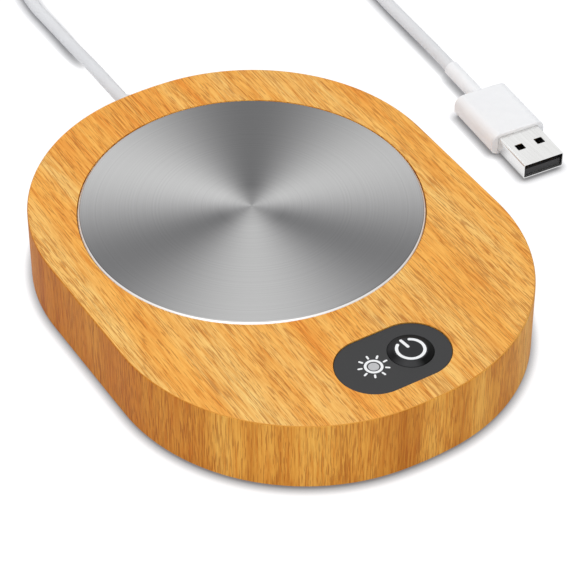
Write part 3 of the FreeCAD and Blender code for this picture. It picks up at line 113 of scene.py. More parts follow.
# The close shadow reaches 2.6 mm out from whatever stands on the table.
near = add_node(tree, "ShaderNodeAmbientOcclusion", {"Distance": 0.0026, "samples": 16})
held = add_node(tree, "ShaderNodeMath", {"operation": "POWER", 1: 2.3}, {0: near.outputs["AO"]})
held = add_node(tree, "ShaderNodeMapRange", {"To Min": 0.12, "To Max": 0.9}, {"Value": held.outputs[0]})
white = add_node(tree, "ShaderNodeEmission", {"Color": linear("#ffffff")}, {"Strength": held.outputs[0]})
matt = add_node(tree, "ShaderNodeBsdfDiffuse", {"Color": linear("#7c7c80")})
shown = add_node(tree, "ShaderNodeAddShader", (), {0: white.outputs[0], 1: matt.outputs[0]})
choice = add_node(tree, "ShaderNodeMixShader", (),
                  {0: seen.outputs[0], 1: shader.outputs[0], 2: shown.outputs[0]})
tree.links.new(choice.outputs[0], tree.nodes["Material Output"].inputs["Surface"])
table_mesh.materials.append(table_paint)

# The surround is white to the camera and lights the object at less than half of that.
surround = bpy.data.worlds.new("surround")
surround.use_nodes = True
tree = surround.node_tree
tree.nodes.clear()
ray = add_node(tree, "ShaderNodeLightPath")
plain = add_node(tree, "ShaderNodeMath", {"operation": "MAXIMUM"},
                 {0: ray.outputs["Is Camera Ray"], 1: ray.outputs["Is Transmission Ray"]})
plain = add_node(tree, "ShaderNodeMath", {"operation": "MAXIMUM"},
                 {0: plain.outputs[0], 1: ray.outputs["Is Glossy Ray"]})
shown = add_node(tree, "ShaderNodeBackground", {"Color": linear("#ffffff"), "Strength": 1.0})
given = add_node(tree, "ShaderNodeBackground", {"Color": linear("#f2f5fa"), "Strength": 0.42})
choice = add_node(tree, "ShaderNodeMixShader", (),
                  {0: plain.outputs[0], 1: given.outputs[0], 2: shown.outputs[0]})
add_node(tree, "ShaderNodeOutputWorld", (), {"Surface": choice.outputs[0]})
bpy.context.scene.world = surround
bpy.context.scene.view_settings.view_transform = "Standard"

LAMP_SIDE = 0.9
for lamp_name, spot, watts in (("lamp_above", (0.0, 0.25, 1.2), 7.6), ("lamp_front", (-0.6, -0.8, 0.7), 4.6)):
    lamp_data = bpy.data.lights.new(lamp_name, "AREA")
    lamp_data.size = LAMP_SIDE
    lamp_data.energy = watts
    lamp = bpy.data.objects.new(lamp_name, lamp_data)
    bpy.context.scene.collection.objects.link(lamp)
    lamp.location = spot
    lamp.rotation_euler = (Vector((0, 0, 0)) - lamp.location).to_track_quat("-Z", "Y").to_euler()

# Cord: a white two-core USB lead, 3.4 mm thick, in a smooth soft PVC jacket. It leaves the strain relief at the
# back of the case, sinks to the table, goes into the tied coil of the length that isn't in use, and comes back
# along the table to the plug. Its tone wanders over some 8 mm, and the jacket has a skin of 0.4 mm grain.
CORD = 0.0034
white_pvc, tree, shader, mm = start_finish("white_pvc_jacket", {
    "Roughness": 0.38, "IOR": 1.5, "Subsurface Weight": 0.12, "Subsurface Radius": (0.002, 0.002, 0.002)})
mottle = add_node(tree, "ShaderNodeTexNoise", {"Scale": 0.12, "Detail": 1.0}, {"Vector": mm})
tone = add_node(tree, "ShaderNodeValToRGB", (), {"Fac": mottle.outputs[0]})
tone.color_ramp.elements[0].color = linear("#e0e0e1")
tone.color_ramp.elements[1].color = linear("#e8e8e9")
tree.links.new(tone.outputs["Color"], shader.inputs["Base Color"])
drawn = add_node(tree, "ShaderNodeTexNoise", {"Scale": 2.2, "Detail": 2.0}, {"Vector": mm})
skin = add_node(tree, "ShaderNodeBump", {"Strength": 0.03, "Distance": 0.0001}, {"Height": drawn.outputs[0]})
tree.links.new(skin.outputs["Normal"], shader.inputs["Normal"])

# The route in millimetres. Where the cord lies on the table, its middle is half its thickness up.
laid = 1.7
cord_route = [
    (0, 77.0, 9.5), (0, 88.0, 9.5), (1.9, 99.8, 6.4), (3.8, 113.1, 2.6), (4.3, 125.0, laid),
    (4.0, 141.5, laid), (8.5, 159.5, laid), (21.5, 172.5, 1.8), (36.0, 174.6, 2.6)]
# The coil steps by half turns, in and out by half a pitch, and up by a pitch at the end of each layer.
coil_x, coil_y = 50, 152
pitch, inner, low = 4.55, 14.5, 2.6
layers, points_per_half_turn = 4, 6
# A curve of few points cuts its corners, so they stand this much further out.
corner_allowance = 1.03
reaches, heights = [inner + 2 * pitch], [low]
inward = True
for layer in range(layers):
    for step in range(4 if layer == 0 else 3):
        reaches.append(reaches[-1] + (-pitch / 2 if inward else pitch / 2))
        heights.append(heights[-1])
    if layer < layers - 1:
        reaches.append(reaches[-1])
        heights.append(heights[-1] + pitch)
        inward = not inward
for half in range(len(reaches) - 1):
    for step in range(points_per_half_turn):
        share = (step + 0.5) / points_per_half_turn
        angle = math.pi / 2 - math.pi * (half + share)
        reach = (reaches[half] + (reaches[half + 1] - reaches[half]) * share) * corner_allowance
        cord_route.append((coil_x + reach * math.cos(angle), coil_y + reach * math.sin(angle),
                           heights[half] + (heights[half + 1] - heights[half]) * share))
cord_route += [
    (53.4, coil_y + reaches[-1], heights[-1]), (61.9, coil_y + reaches[-1], heights[-1]), (75.5, 170.2, 9.4),
    (87.0, 161.0, 4.0), (94.5, 147.5, laid), (96.0, 130.5, laid), (92.8, 117.0, laid), (90.3, 103.0, laid),
    (89.0, 89.0, laid), (88.3, 76.0, 2.0), (86.96, 62.57, 3.2), (86.13, 50.10, 3.2)]
cord_curve = bpy.data.curves.new("usb_cord", "CURVE")
cord_curve.dimensions = "3D"
cord_curve.bevel_depth = CORD / 2
cord_curve.bevel_resolution = 5
cord_curve.resolution_u = 8
cord_curve.use_fill_caps = True
run = cord_curve.splines.new("NURBS")
run.points.add(len(cord_route) - 1)
for point, (x, y, z) in zip(run.points, cord_route):
    point.co = (x / 1000, y / 1000, z / 1000, 1)
run.order_u = 3
run.use_endpoint_u = True
cord_curve.materials.append(white_pvc)
usb_cord = bpy.data.objects.new("usb_cord", cord_curve)
bpy.context.scene.collection.objects.link(usb_cord)
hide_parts("cord_lead", "cord_coil", "cord_tail")
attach(usb_cord, "case")


def finish_node(name, material):
    """Gives a piece that came from the frame its finish."""
    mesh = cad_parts[name].data
    mesh.materials.clear()
    mesh.materials.append(material)


# The stretch inside the case has the same jacket.
finish_node("inner_cord", white_pvc)

# Tie and strain relief: soft white moulded rubber, matt from its mould, a little warmer than the jacket, with
# a grit of 0.2 mm. The tie is wound round the coil, and the strain relief is pushed into the back wall.
soft_white, tree, shader, mm = start_finish("soft_white_rubber", {"Roughness": 0.6, "IOR": 1.5})
grit = add_node(tree, "ShaderNodeTexNoise", {"Scale": 5.0, "Detail": 2.0}, {"Vector": mm})
skin = add_node(tree, "ShaderNodeBump", {"Strength": 0.2, "Distance": 0.0001}, {"Height": grit.outputs[0]})
tree.links.new(skin.outputs["Normal"], shader.inputs["Normal"])
tone = add_node(tree, "ShaderNodeValToRGB", (), {"Fac": grit.outputs[0]})
tone.color_ramp.elements[0].color = linear("#e2e2e3")
tone.color_ramp.elements[1].color = linear("#efefef")
tree.links.new(tone.outputs["Color"], shader.inputs["Base Color"])
for name in ("cord_tie", "cord_grommet"):
    finish_node(name, soft_white)

# Wooden case: an oiled light hardwood block, sawn along the grain on top, with open pores that show as short
# dark strokes. The grain stands upright on the side band, whose tints are painted darker than the top's, as
# shade.
# Oil leaves it nearly matt.
wood, tree, shader, mm = start_finish("oiled_open_grain_wood", {
    "Roughness": 0.62, "IOR": 1.5, "Specular IOR Level": 0.2})
place = add_node(tree, "ShaderNodeTexCoord")
facing = add_node(tree, "ShaderNodeSeparateXYZ", (), {0: place.outputs["Normal"]})
on_top = add_node(tree, "ShaderNodeMapRange", {"From Min": 0.6, "From Max": 0.9},
                  {"Value": facing.outputs["Z"]})
# The grain is drawn out twenty times, along the top's length and up the side.
along_y = add_node(tree, "ShaderNodeMapping", {"Scale": (1, 0.05, 1), "Rotation": (0, 0, 0.03)}, {"Vector": mm})
along_z = add_node(tree, "ShaderNodeMapping", {"Scale": (1, 1, 0.05), "Location": (40, 90, 0)}, {"Vector": mm})
grain = add_node(tree, "ShaderNodeMix", {"data_type": "VECTOR"},
                 {0: on_top.outputs[0], 4: along_z.outputs[0], 5: along_y.outputs[0]}).outputs[1]
# A slow wander bends the grain lines as a real board's do.
wander = add_node(tree, "ShaderNodeTexNoise", {"Scale": 0.09, "Detail": 1.0}, {"Vector": grain})
shift = add_node(tree, "ShaderNodeVectorMath", {"operation": "SCALE", "Scale": 4.0},
                 {0: wander.outputs["Color"]})
grain = add_node(tree, "ShaderNodeVectorMath", {"operation": "ADD"},
                 {0: grain, 1: shift.outputs[0]}).outputs[0]
# Bands of 5 to 20 mm, streaks of about 0.6 mm, and pores about 0.25 mm wide and 4 to 5 mm long.
bands = add_node(tree, "ShaderNodeTexNoise", {"Scale": 0.11, "Detail": 2.0}, {"Vector": grain})
streaks = add_node(tree, "ShaderNodeTexNoise", {"Scale": 1.7, "Detail": 4.0, "Roughness": 0.65},
                   {"Vector": grain})
short = add_node(tree, "ShaderNodeMapping", {"Scale": (1, 0.95, 0.95)}, {"Vector": grain})
pores = add_node(tree, "ShaderNodeTexNoise", {"Scale": 4.2, "Detail": 1.5}, {"Vector": short.outputs[0]})
patches = add_node(tree, "ShaderNodeTexNoise", {"Scale": 0.25, "Detail": 1.0}, {"Vector": grain})

# The side's tints are darker than the top's: painted shade on the upright faces.
top_and_shaded_side_tints = {}
for part, stops in (("top", ("#f59c38", "#ffbe5c", "#ffd480")), ("side", ("#d2892a", "#f0ae48", "#fcc45e"))):
    ramp = add_node(tree, "ShaderNodeValToRGB", (), {"Fac": bands.outputs[0]})
    ramp.color_ramp.elements[0].position = 0.3
    ramp.color_ramp.elements[0].color = linear(stops[0])
    ramp.color_ramp.elements[1].position = 0.72
    ramp.color_ramp.elements[1].color = linear(stops[2])
    middle = ramp.color_ramp.elements.new(0.48)
    middle.color = linear(stops[1])
    top_and_shaded_side_tints[part] = ramp.outputs["Color"]
tint = add_node(tree, "ShaderNodeMix", {"data_type": "RGBA"},
                {0: on_top.outputs[0], 6: top_and_shaded_side_tints["side"], 7: top_and_shaded_side_tints["top"]}).outputs[2]
deep = add_node(tree, "ShaderNodeMapRange", {"From Min": 0.36, "From Max": 0.66},
                {"Value": streaks.outputs[0]})
light_line = add_node(tree, "ShaderNodeMix", {"data_type": "RGBA", 6: linear("#fbf4e4"), 7: linear("#ffffff")},
                      {0: deep.outputs[0]}).outputs[2]
dark_line = add_node(tree, "ShaderNodeMix", {"data_type": "RGBA", 6: linear("#d9a868"), 7: linear("#ffffff")},
                     {0: deep.outputs[0]}).outputs[2]
thin = add_node(tree, "ShaderNodeMix", {"data_type": "RGBA"},
                {0: streaks.outputs[0], 6: dark_line, 7: light_line}).outputs[2]
tint = add_node(tree, "ShaderNodeMix", {"data_type": "RGBA", "blend_type": "MULTIPLY", 0: 1.0},
                {6: tint, 7: thin}).outputs[2]
often = add_node(tree, "ShaderNodeMapRange", {"From Min": 0.3, "From Max": 0.7, "To Min": 0.6, "To Max": 0.5},
                 {"Value": patches.outputs[0]})
depth = add_node(tree, "ShaderNodeMath", {"operation": "SUBTRACT"}, {0: pores.outputs[0], 1: often.outputs[0]})
pore = add_node(tree, "ShaderNodeMapRange", {"From Min": 0.0, "From Max": 0.05}, {"Value": depth.outputs[0]})
amount = add_node(tree, "ShaderNodeMath", {"operation": "MULTIPLY", 1: 0.5}, {0: pore.outputs[0]})
tint = add_node(tree, "ShaderNodeMix", {"data_type": "RGBA", 7: linear("#a0500f")},
                {0: amount.outputs[0], 6: tint}).outputs[2]
# Painted shade: the side is darkened towards the block's left end.
across = add_node(tree, "ShaderNodeSeparateXYZ", (), {0: mm})
painted_left_end_shade = add_node(tree, "ShaderNodeMapRange",
                    {"From Min": -51.0, "From Max": -41.0, "To Min": 1.0, "To Max": 0.0},
                    {"Value": across.outputs["X"]})
on_side = add_node(tree, "ShaderNodeMath", {"operation": "SUBTRACT", 0: 1.0}, {1: on_top.outputs[0]})
painted_left_end_shade = add_node(tree, "ShaderNodeMath", {"operation": "MULTIPLY"},
                    {0: painted_left_end_shade.outputs[0], 1: on_side.outputs[0]})
tint = add_node(tree, "ShaderNodeMix", {"data_type": "RGBA", "blend_type": "MULTIPLY", 7: linear("#e2c8a2")},
                {0: painted_left_end_shade.outputs[0], 6: tint}).outputs[2]
tree.links.new(tint, shader.inputs["Base Color"])
# The pores lie 0.15 mm deep at the most.
sunk = add_node(tree, "ShaderNodeMath", {"operation": "MULTIPLY_ADD", 1: -1.0, 2: 1.0}, {0: pore.outputs[0]})
relief = add_node(tree, "ShaderNodeBump", {"Strength": 0.35, "Distance": 0.00015}, {"Height": sunk.outputs[0]})
tree.links.new(relief.outputs["Normal"], shader.inputs["Normal"])
finish_node("wooden_case", wood)

# Bottom cover: a flat black ABS moulding with a spark texture of 0.3 mm grit, which makes its shine patchy. It
# closes the case from below. The switch's and the electronics' black parts have the same finish.
black_abs, tree, shader, mm = start_finish("black_spark_textured_abs", {
    "Base Color": linear("#232325"), "IOR": 1.53})
spark = add_node(tree, "ShaderNodeTexNoise", {"Scale": 3.0, "Detail": 3.0}, {"Vector": mm})
skin = add_node(tree, "ShaderNodeBump", {"Strength": 0.35, "Distance": 0.0001}, {"Height": spark.outputs[0]})
tree.links.new(skin.outputs["Normal"], shader.inputs["Normal"])
shine = add_node(tree, "ShaderNodeMapRange", {"To Min": 0.45, "To Max": 0.65}, {"Value": spark.outputs[0]})
tree.links.new(shine.outputs[0], shader.inputs["Roughness"])
for name in ("bottom_cover", "switch_base", "switch_plunger", "controller_chip", "power_transistor",
             "resistors", "plug_tongue", "temperature_sensor"):
    finish_node(name, black_abs)

# Feet and plate ring: black silicone rubber, matt, with dust in patches of about a millimetre. The feet are
# stuck into their seats, and the ring lies under the hot plate's rim.
silicone, tree, shader, mm = start_finish("black_silicone", {"Roughness": 0.8})
dust = add_node(tree, "ShaderNodeTexNoise", {"Scale": 0.8, "Detail": 5.0}, {"Vector": mm})
tone = add_node(tree, "ShaderNodeValToRGB", (), {"Fac": dust.outputs[0]})
tone.color_ramp.elements[0].color = linear("#161617")
tone.color_ramp.elements[1].color = linear("#2b2b2c")
tree.links.new(tone.outputs["Color"], shader.inputs["Base Color"])
for name in ("rubber_feet", "plate_gasket"):
    finish_node(name, silicone)

# Screws, clips, can and legs: zinc plated steel, with the faint blue and yellow bloom of passivated zinc in
# patches of about 2 mm.
zinc, tree, shader, mm = start_finish("zinc_plated_steel", {"Metallic": 1.0, "Roughness": 0.32})
bloom = add_node(tree, "ShaderNodeTexNoise", {"Scale": 0.5, "Detail": 2.0}, {"Vector": mm})
tone = add_node(tree, "ShaderNodeValToRGB", (), {"Fac": bloom.outputs[0]})
tone.color_ramp.elements[0].color = linear("#a9adb4")
tone.color_ramp.elements[1].color = linear("#b9b6a8")
tree.links.new(tone.outputs["Color"], shader.inputs["Base Color"])
for name in ("cover_screws", "board_screws", "clamp_screws", "pressure_plate", "thermal_fuse", "fuse_strap",
             "switch_cover", "switch_legs", "chip_legs", "capacitor", "cord_stop_band"):
    finish_node(name, zinc)

# Snap dome of the push switch: a thin sprung disc of the same steel. It flattens towards its foot as the plunger
# comes down by the switch's travel of 0.4 mm; here it is a copy of the frame's piece with a mesh of its own.
dome_form = bmesh.new()
dome_form.from_mesh(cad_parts["snap_dome"].data)
bmesh.ops.remove_doubles(dome_form, verts=dome_form.verts, dist=1e-6)
dome_mesh = bpy.data.meshes.new("click_disc")
dome_form.to_mesh(dome_mesh)
dome_form.free()
dome_mesh.materials.append(zinc)
click_disc = bpy.data.objects.new("click_disc", dome_mesh)
bpy.context.scene.collection.objects.link(click_disc)
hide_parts("snap_dome")
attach(click_disc, "case")
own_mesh(click_disc)

# Hot plate: a turned aluminium disc. The tool leaves fine rings round its centre. Three broad bright fans that
# run out from the centre, with darker ones between, are painted highlight and painted shade, and the bevel's
# bright line is a painted highlight. Clamps hold it from below.
spun, tree, shader, mm = start_finish("spun_aluminium", {
    "Metallic": 1.0, "Roughness": 0.5, "Anisotropic": 0.3})
plate_low, plate_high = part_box("heating_plate")
plate_y = (plate_low[1] + plate_high[1]) / 2 * 1000
from_centre = add_node(tree, "ShaderNodeMapping", {"Location": (0, -plate_y, 0)}, {"Vector": mm})
flat = add_node(tree, "ShaderNodeSeparateXYZ", (), {0: from_centre.outputs[0]})
turn = add_node(tree, "ShaderNodeMath", {"operation": "ARCTAN2"},
                {0: flat.outputs["Y"], 1: flat.outputs["X"]})
# The fans are painted highlights, with painted shade between them, three times round the centre.
PAINTED_FANS = 3.0
painted_fan_turn = add_node(tree, "ShaderNodeMath", {"operation": "MULTIPLY", 1: PAINTED_FANS}, {0: turn.outputs[0]})
painted_fan = add_node(tree, "ShaderNodeMath", {"operation": "COSINE"}, {0: painted_fan_turn.outputs[0]})
share = add_node(tree, "ShaderNodeMapRange", {"From Min": -1.0, "From Max": 1.0}, {"Value": painted_fan.outputs[0]})
square_x = add_node(tree, "ShaderNodeMath", {"operation": "MULTIPLY"},
                    {0: flat.outputs["X"], 1: flat.outputs["X"]})
reach = add_node(tree, "ShaderNodeMath", {"operation": "MULTIPLY_ADD"},
                 {0: flat.outputs["Y"], 1: flat.outputs["Y"], 2: square_x.outputs[0]})
reach = add_node(tree, "ShaderNodeMath", {"operation": "SQRT"}, {0: reach.outputs[0]})
# The painted highlight fans melt into each other within 8 mm of the middle.
calm = add_node(tree, "ShaderNodeMapRange", {"From Max": 8.0, "To Min": 0.15}, {"Value": reach.outputs[0]})
share = add_node(tree, "ShaderNodeMix", {"data_type": "FLOAT", 2: 0.55},
                 {0: calm.outputs[0], 3: share.outputs[0]})
# The metal's colour runs from painted shade between the fans to painted highlight on them.
metal_with_painted_highlights = add_node(tree, "ShaderNodeMix", {"data_type": "RGBA", 6: linear("#656566"), 7: linear("#a8a8a8")},
                 {0: share.outputs[0]})
# Tool rings about 0.4 mm apart, drawn by noise that changes only with the distance from the centre. Real ones
# are finer, and wouldn't show.
ring_at = add_node(tree, "ShaderNodeCombineXYZ", (), {"X": reach.outputs[0]})
rings = add_node(tree, "ShaderNodeTexNoise", {"Scale": 2.4, "Detail": 4.0, "Roughness": 0.7},
                 {"Vector": ring_at.outputs[0]})
fine = add_node(tree, "ShaderNodeMapRange", {"From Min": 0.3, "From Max": 0.7, "To Min": 0.9, "To Max": 1.08},
                {"Value": rings.outputs[0]})
metal_with_painted_highlights = add_node(tree, "ShaderNodeMix", {"data_type": "RGBA", "blend_type": "MULTIPLY", 0: 1.0},
                 {6: metal_with_painted_highlights.outputs[2], 7: fine.outputs[0]})
# The bevel's painted highlight starts 42.02 mm out and is full 0.1 mm further on.
BEVEL_FROM, BEVEL_FULL = 42.02, 42.12
bevel_highlight = add_node(tree, "ShaderNodeMapRange", {"From Min": BEVEL_FROM, "From Max": BEVEL_FULL},
                {"Value": reach.outputs[0]})
metal_with_painted_highlights = add_node(tree, "ShaderNodeMix", {"data_type": "RGBA", 7: linear("#e4e4e4")},
                 {0: bevel_highlight.outputs[0], 6: metal_with_painted_highlights.outputs[2]})
tree.links.new(metal_with_painted_highlights.outputs[2], shader.inputs["Base Color"])
groove = add_node(tree, "ShaderNodeBump", {"Strength": 0.08, "Distance": 0.00005}, {"Height": rings.outputs[0]})
tree.links.new(groove.outputs["Normal"], shader.inputs["Normal"])
tangent = add_node(tree, "ShaderNodeTangent", {"direction_type": "RADIAL", "axis": "Z"})
tree.links.new(tangent.outputs[0], shader.inputs["Tangent"])
finish_node("heating_plate", spun)

# Film heater: amber polyimide film, stuck under the plate, with an etched metal track in rings about 2.5 mm
# apart.
film, tree, shader, mm = start_finish("amber_polyimide_film", {"Roughness": 0.3, "IOR": 1.6})
waves = add_node(tree, "ShaderNodeTexWave", {"wave_type": "RINGS", "rings_direction": "Z", "Scale": 0.12},
                 {"Vector": add_node(tree, "ShaderNodeMapping", {"Location": (0, -plate_y, 0)},
                                     {"Vector": mm}).outputs[0]})
tone = add_node(tree, "ShaderNodeValToRGB", (), {"Fac": waves.outputs[0]})
tone.color_ramp.elements[0].color = linear("#c07a1e")
tone.color_ramp.elements[1].color = linear("#7c5a36")
tree.links.new(tone.outputs["Color"], shader.inputs["Base Color"])
finish_node("heater_element", film)

# Insulation pad: pressed off-white fibre felt, whose fibres show as flecks of 0.7 mm. It holds the heat in the
# plate, and the pressure plate holds it up.
felt, tree, shader, mm = start_finish("pressed_fibre_felt", {"Roughness": 0.95, "Sheen Weight": 0.2})
fibre = add_node(tree, "ShaderNodeTexNoise", {"Scale": 1.5, "Detail": 8.0, "Roughness": 0.8}, {"Vector": mm})
tone = add_node(tree, "ShaderNodeValToRGB", (), {"Fac": fibre.outputs[0]})
tone.color_ramp.elements[0].color = linear("#bdb8aa")
tone.color_ramp.elements[1].color = linear("#f1eee4")
tree.links.new(tone.outputs["Color"], shader.inputs["Base Color"])
finish_node("insulation_pad", felt)

# Control panel: dark grey ABS, moulded with a satin surface, let into the wood to 0.2 mm under its face. Its
# satin grain of 0.2 mm is drawn coarser than a real one, which wouldn't show.
grey_abs, tree, shader, mm = start_finish("satin_dark_grey_abs", {
    "Roughness": 0.5, "IOR": 1.53, "Specular IOR Level": 0.3})
satin = add_node(tree, "ShaderNodeTexNoise", {"Scale": 6.0, "Detail": 2.0}, {"Vector": mm})
tone = add_node(tree, "ShaderNodeValToRGB", (), {"Fac": satin.outputs[0]})
tone.color_ramp.elements[0].color = linear("#222223")
tone.color_ramp.elements[1].color = linear("#29292a")
tree.links.new(tone.outputs["Color"], shader.inputs["Base Color"])
skin = add_node(tree, "ShaderNodeBump", {"Strength": 0.15, "Distance": 0.00008}, {"Height": satin.outputs[0]})
tree.links.new(skin.outputs["Normal"], shader.inputs["Normal"])
finish_node("control_panel", grey_abs)

# Prints: white pad-printed ink, a hair thick, with a cover that varies over 0.25 mm. The sun stands round the
# light guide and has nine short rays.
white_ink, tree, shader, mm = start_finish("white_pad_print_ink", {"Roughness": 0.45, "IOR": 1.5})
cover = add_node(tree, "ShaderNodeTexNoise", {"Scale": 4.0, "Detail": 2.0}, {"Vector": mm})
tone = add_node(tree, "ShaderNodeValToRGB", (), {"Fac": cover.outputs[0]})
tone.color_ramp.elements[0].color = linear("#f0f0f0")
tone.color_ramp.elements[1].color = linear("#fafafa")
tree.links.new(tone.outputs["Color"], shader.inputs["Base Color"])
INK = 0.00004
ROUND_STEPS = 8
panel_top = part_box("control_panel")[1][2]
guide_low, guide_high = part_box("indicator_light_guide")
sun_x, sun_y = (guide_low[0] + guide_high[0]) / 2, (guide_low[1] + guide_high[1]) / 2


def printed_stroke(name, points, width, closed, height, body):
    """A flat band of ink along the points, with round ends unless it closes on itself."""
    shape = bmesh.new()
    line = [Vector(point) for point in points]
    count = len(line)
    left, right = [], []
    for index, point in enumerate(line):
        before = line[index - 1] if closed or index else point
        after = line[(index + 1) % count] if closed or index < count - 1 else point
        way = (after - before).normalized()
        across = Vector((-way.y, way.x)) * width / 2
        left.append(point + across)
        right.append(point - across)
    if closed:
        outer = [shape.verts.new((p.x, p.y, height)) for p in left]
        inner_ring = [shape.verts.new((p.x, p.y, height)) for p in right]
        for index in range(count):
            following = (index + 1) % count
            shape.faces.new((outer[index], outer[following], inner_ring[following], inner_ring[index]))
    else:
        outline = list(left)
        for tip, way in ((line[-1], (line[-1] - line[-2]).normalized()),
                         (line[0], (line[0] - line[1]).normalized())):
            start = math.atan2(way.y, way.x) + math.pi / 2
            for step in range(1, ROUND_STEPS):
                angle = start - math.pi * step / ROUND_STEPS
                outline.append(tip + Vector((math.cos(angle), math.sin(angle))) * width / 2)
            if tip is line[-1]:
                outline += reversed(right)
        shape.faces.new([shape.verts.new((p.x, p.y, height)) for p in outline])
    bmesh.ops.recalc_face_normals(shape, faces=shape.faces)
    for face in shape.faces:
        if face.normal.z < 0:
            face.normal_flip()
    top = bmesh.ops.extrude_face_region(shape, geom=list(shape.faces))
    bmesh.ops.translate(shape, vec=(0, 0, INK),
                        verts=[v for v in top["geom"] if isinstance(v, bmesh.types.BMVert)])
    bmesh.ops.recalc_face_normals(shape, faces=shape.faces)
    mesh = bpy.data.meshes.new(name)
    shape.to_mesh(mesh)
    shape.free()
    mesh.materials.append(white_ink)
    piece = bpy.data.objects.new(name, mesh)
    bpy.context.scene.collection.objects.link(piece)
    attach(piece, body)
    return piece


SUN_RADIUS, SUN_WIDTH = 0.00194, 0.00064
turns = [2 * math.pi * step / 48 for step in range(48)]
sun_ring = printed_stroke(
    "sun_ring_print",
    [(sun_x + SUN_RADIUS * math.cos(a), sun_y + SUN_RADIUS * math.sin(a)) for a in turns],
    SUN_WIDTH, True, panel_top, "case")

# The rays repeat, so a node tree makes one stroke from two round ends and sets it nine times round the guide.
rays = bpy.data.node_groups.new("sun_rays", "GeometryNodeTree")
for label, kind, value in (("Rays", "NodeSocketInt", 9), ("Start", "NodeSocketFloat", 0.00286),
                           ("End", "NodeSocketFloat", 0.0036), ("Width", "NodeSocketFloat", 0.0005),
                           ("First turn", "NodeSocketFloat", 0.061), ("Thickness", "NodeSocketFloat", INK),
                           ("Centre", "NodeSocketVector", (sun_x, sun_y, panel_top + INK / 2)),
                           ("Ink", "NodeSocketMaterial", None)):
    socket = rays.interface.new_socket(label, in_out="INPUT", socket_type=kind)
    if value is not None:
        socket.default_value = value
rays.interface.new_socket("Geometry", in_out="OUTPUT", socket_type="NodeSocketGeometry")
given = add_node(rays, "NodeGroupInput").outputs
half_width = add_node(rays, "ShaderNodeMath", {"operation": "DIVIDE", 1: 2.0}, {0: given["Width"]})
ends = []
for label in ("Start", "End"):
    disc = add_node(rays, "GeometryNodeMeshCylinder", {"Vertices": 16},
                    {"Radius": half_width.outputs[0], "Depth": given["Thickness"]})
    spot = add_node(rays, "ShaderNodeCombineXYZ", (), {"X": given[label]})
    ends.append(add_node(rays, "GeometryNodeTransform", (), {"Geometry": disc.outputs["Mesh"],
                                                            "Translation": spot.outputs[0]}))
pair = add_node(rays, "GeometryNodeJoinGeometry")
for end in ends:
    rays.links.new(end.outputs[0], pair.inputs[0])
stroke = add_node(rays, "GeometryNodeConvexHull", (), {0: pair.outputs[0]})
spots = add_node(rays, "GeometryNodePoints", (), {"Count": given["Rays"]})
step = add_node(rays, "ShaderNodeMath", {"operation": "DIVIDE", 0: 2 * math.pi}, {1: given["Rays"]})
index = add_node(rays, "GeometryNodeInputIndex")
angle = add_node(rays, "ShaderNodeMath", {"operation": "MULTIPLY_ADD"},
                 {0: index.outputs[0], 1: step.outputs[0], 2: given["First turn"]})
spin = add_node(rays, "ShaderNodeCombineXYZ", (), {"Z": angle.outputs[0]})
copies = add_node(rays, "GeometryNodeInstanceOnPoints", (), {
    "Points": spots.outputs[0], "Instance": stroke.outputs[0], "Rotation": spin.outputs[0]})
moved = add_node(rays, "GeometryNodeTransform", (),
                 {"Geometry": copies.outputs[0], "Translation": given["Centre"]})
solid = add_node(rays, "GeometryNodeRealizeInstances", (), {0: moved.outputs[0]})
inked = add_node(rays, "GeometryNodeSetMaterial", (),
                 {"Geometry": solid.outputs[0], "Material": given["Ink"]})
add_node(rays, "NodeGroupOutput", (), {0: inked.outputs[0]})
ray_mesh = bpy.data.meshes.new("sun_rays_print")
sun_rays = bpy.data.objects.new("sun_rays_print", ray_mesh)
bpy.context.scene.collection.objects.link(sun_rays)
maker = sun_rays.modifiers.new("rays", "NODES")
maker.node_group = rays
for item in rays.interface.items_tree:
    if item.name == "Ink":
        maker[item.identifier] = white_ink
evaluated = sun_rays.evaluated_get(bpy.context.evaluated_depsgraph_get())
made = bpy.data.meshes.new_from_object(evaluated)
sun_rays.modifiers.clear()
sun_rays.data = made
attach(sun_rays, "case")

# Light guide and lamp: milky polycarbonate that spreads the lamp's light, unlit, with a haze in clouds of
# 0.6 mm. The guide's collar lies under the panel, just over the lamp, and the guide ends flush with the panel.
milky, tree, shader, mm = start_finish("milky_polycarbonate", {
    "Roughness": 0.35, "IOR": 1.58, "Subsurface Weight": 0.2, "Subsurface Radius": (0.001, 0.001, 0.001)})
haze = add_node(tree, "ShaderNodeTexNoise", {"Scale": 1.6, "Detail": 2.0}, {"Vector": mm})
tone = add_node(tree, "ShaderNodeValToRGB", (), {"Fac": haze.outputs[0]})
tone.color_ramp.elements[0].color = linear("#b4b4b5")
tone.color_ramp.elements[1].color = linear("#c3c3c4")
tree.links.new(tone.outputs["Color"], shader.inputs["Base Color"])
for name in ("indicator_light_guide", "indicator_lamp"):
    finish_node(name, milky)

# Power button: the same grey ABS, polished, with painted light and shade round its flank. It is a low round dome
# whose flat top carries the power sign in the same ink, and it slides in the panel's hole.
button_low, button_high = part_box("power_button")
button_x, button_y = (button_low[0] + button_high[0]) / 2, (button_low[1] + button_high[1]) / 2
polished_grey_with_painted_flank, tree, shader, mm = start_finish("polished_dark_grey_abs_painted_flank_shade", {
    "Roughness": 0.42, "IOR": 1.53, "Specular IOR Level": 0.06})
centred = add_node(tree, "ShaderNodeMapping", {"Location": (-button_x * 1000, -button_y * 1000, 0)},
                   {"Vector": mm})
apart = add_node(tree, "ShaderNodeSeparateXYZ", (), {0: centred.outputs[0]})
turn = add_node(tree, "ShaderNodeMath", {"operation": "ARCTAN2"},
                {0: apart.outputs["Y"], 1: apart.outputs["X"]})
share = add_node(tree, "ShaderNodeMapRange", {"From Min": -math.pi, "From Max": math.pi},
                 {"Value": turn.outputs[0]})
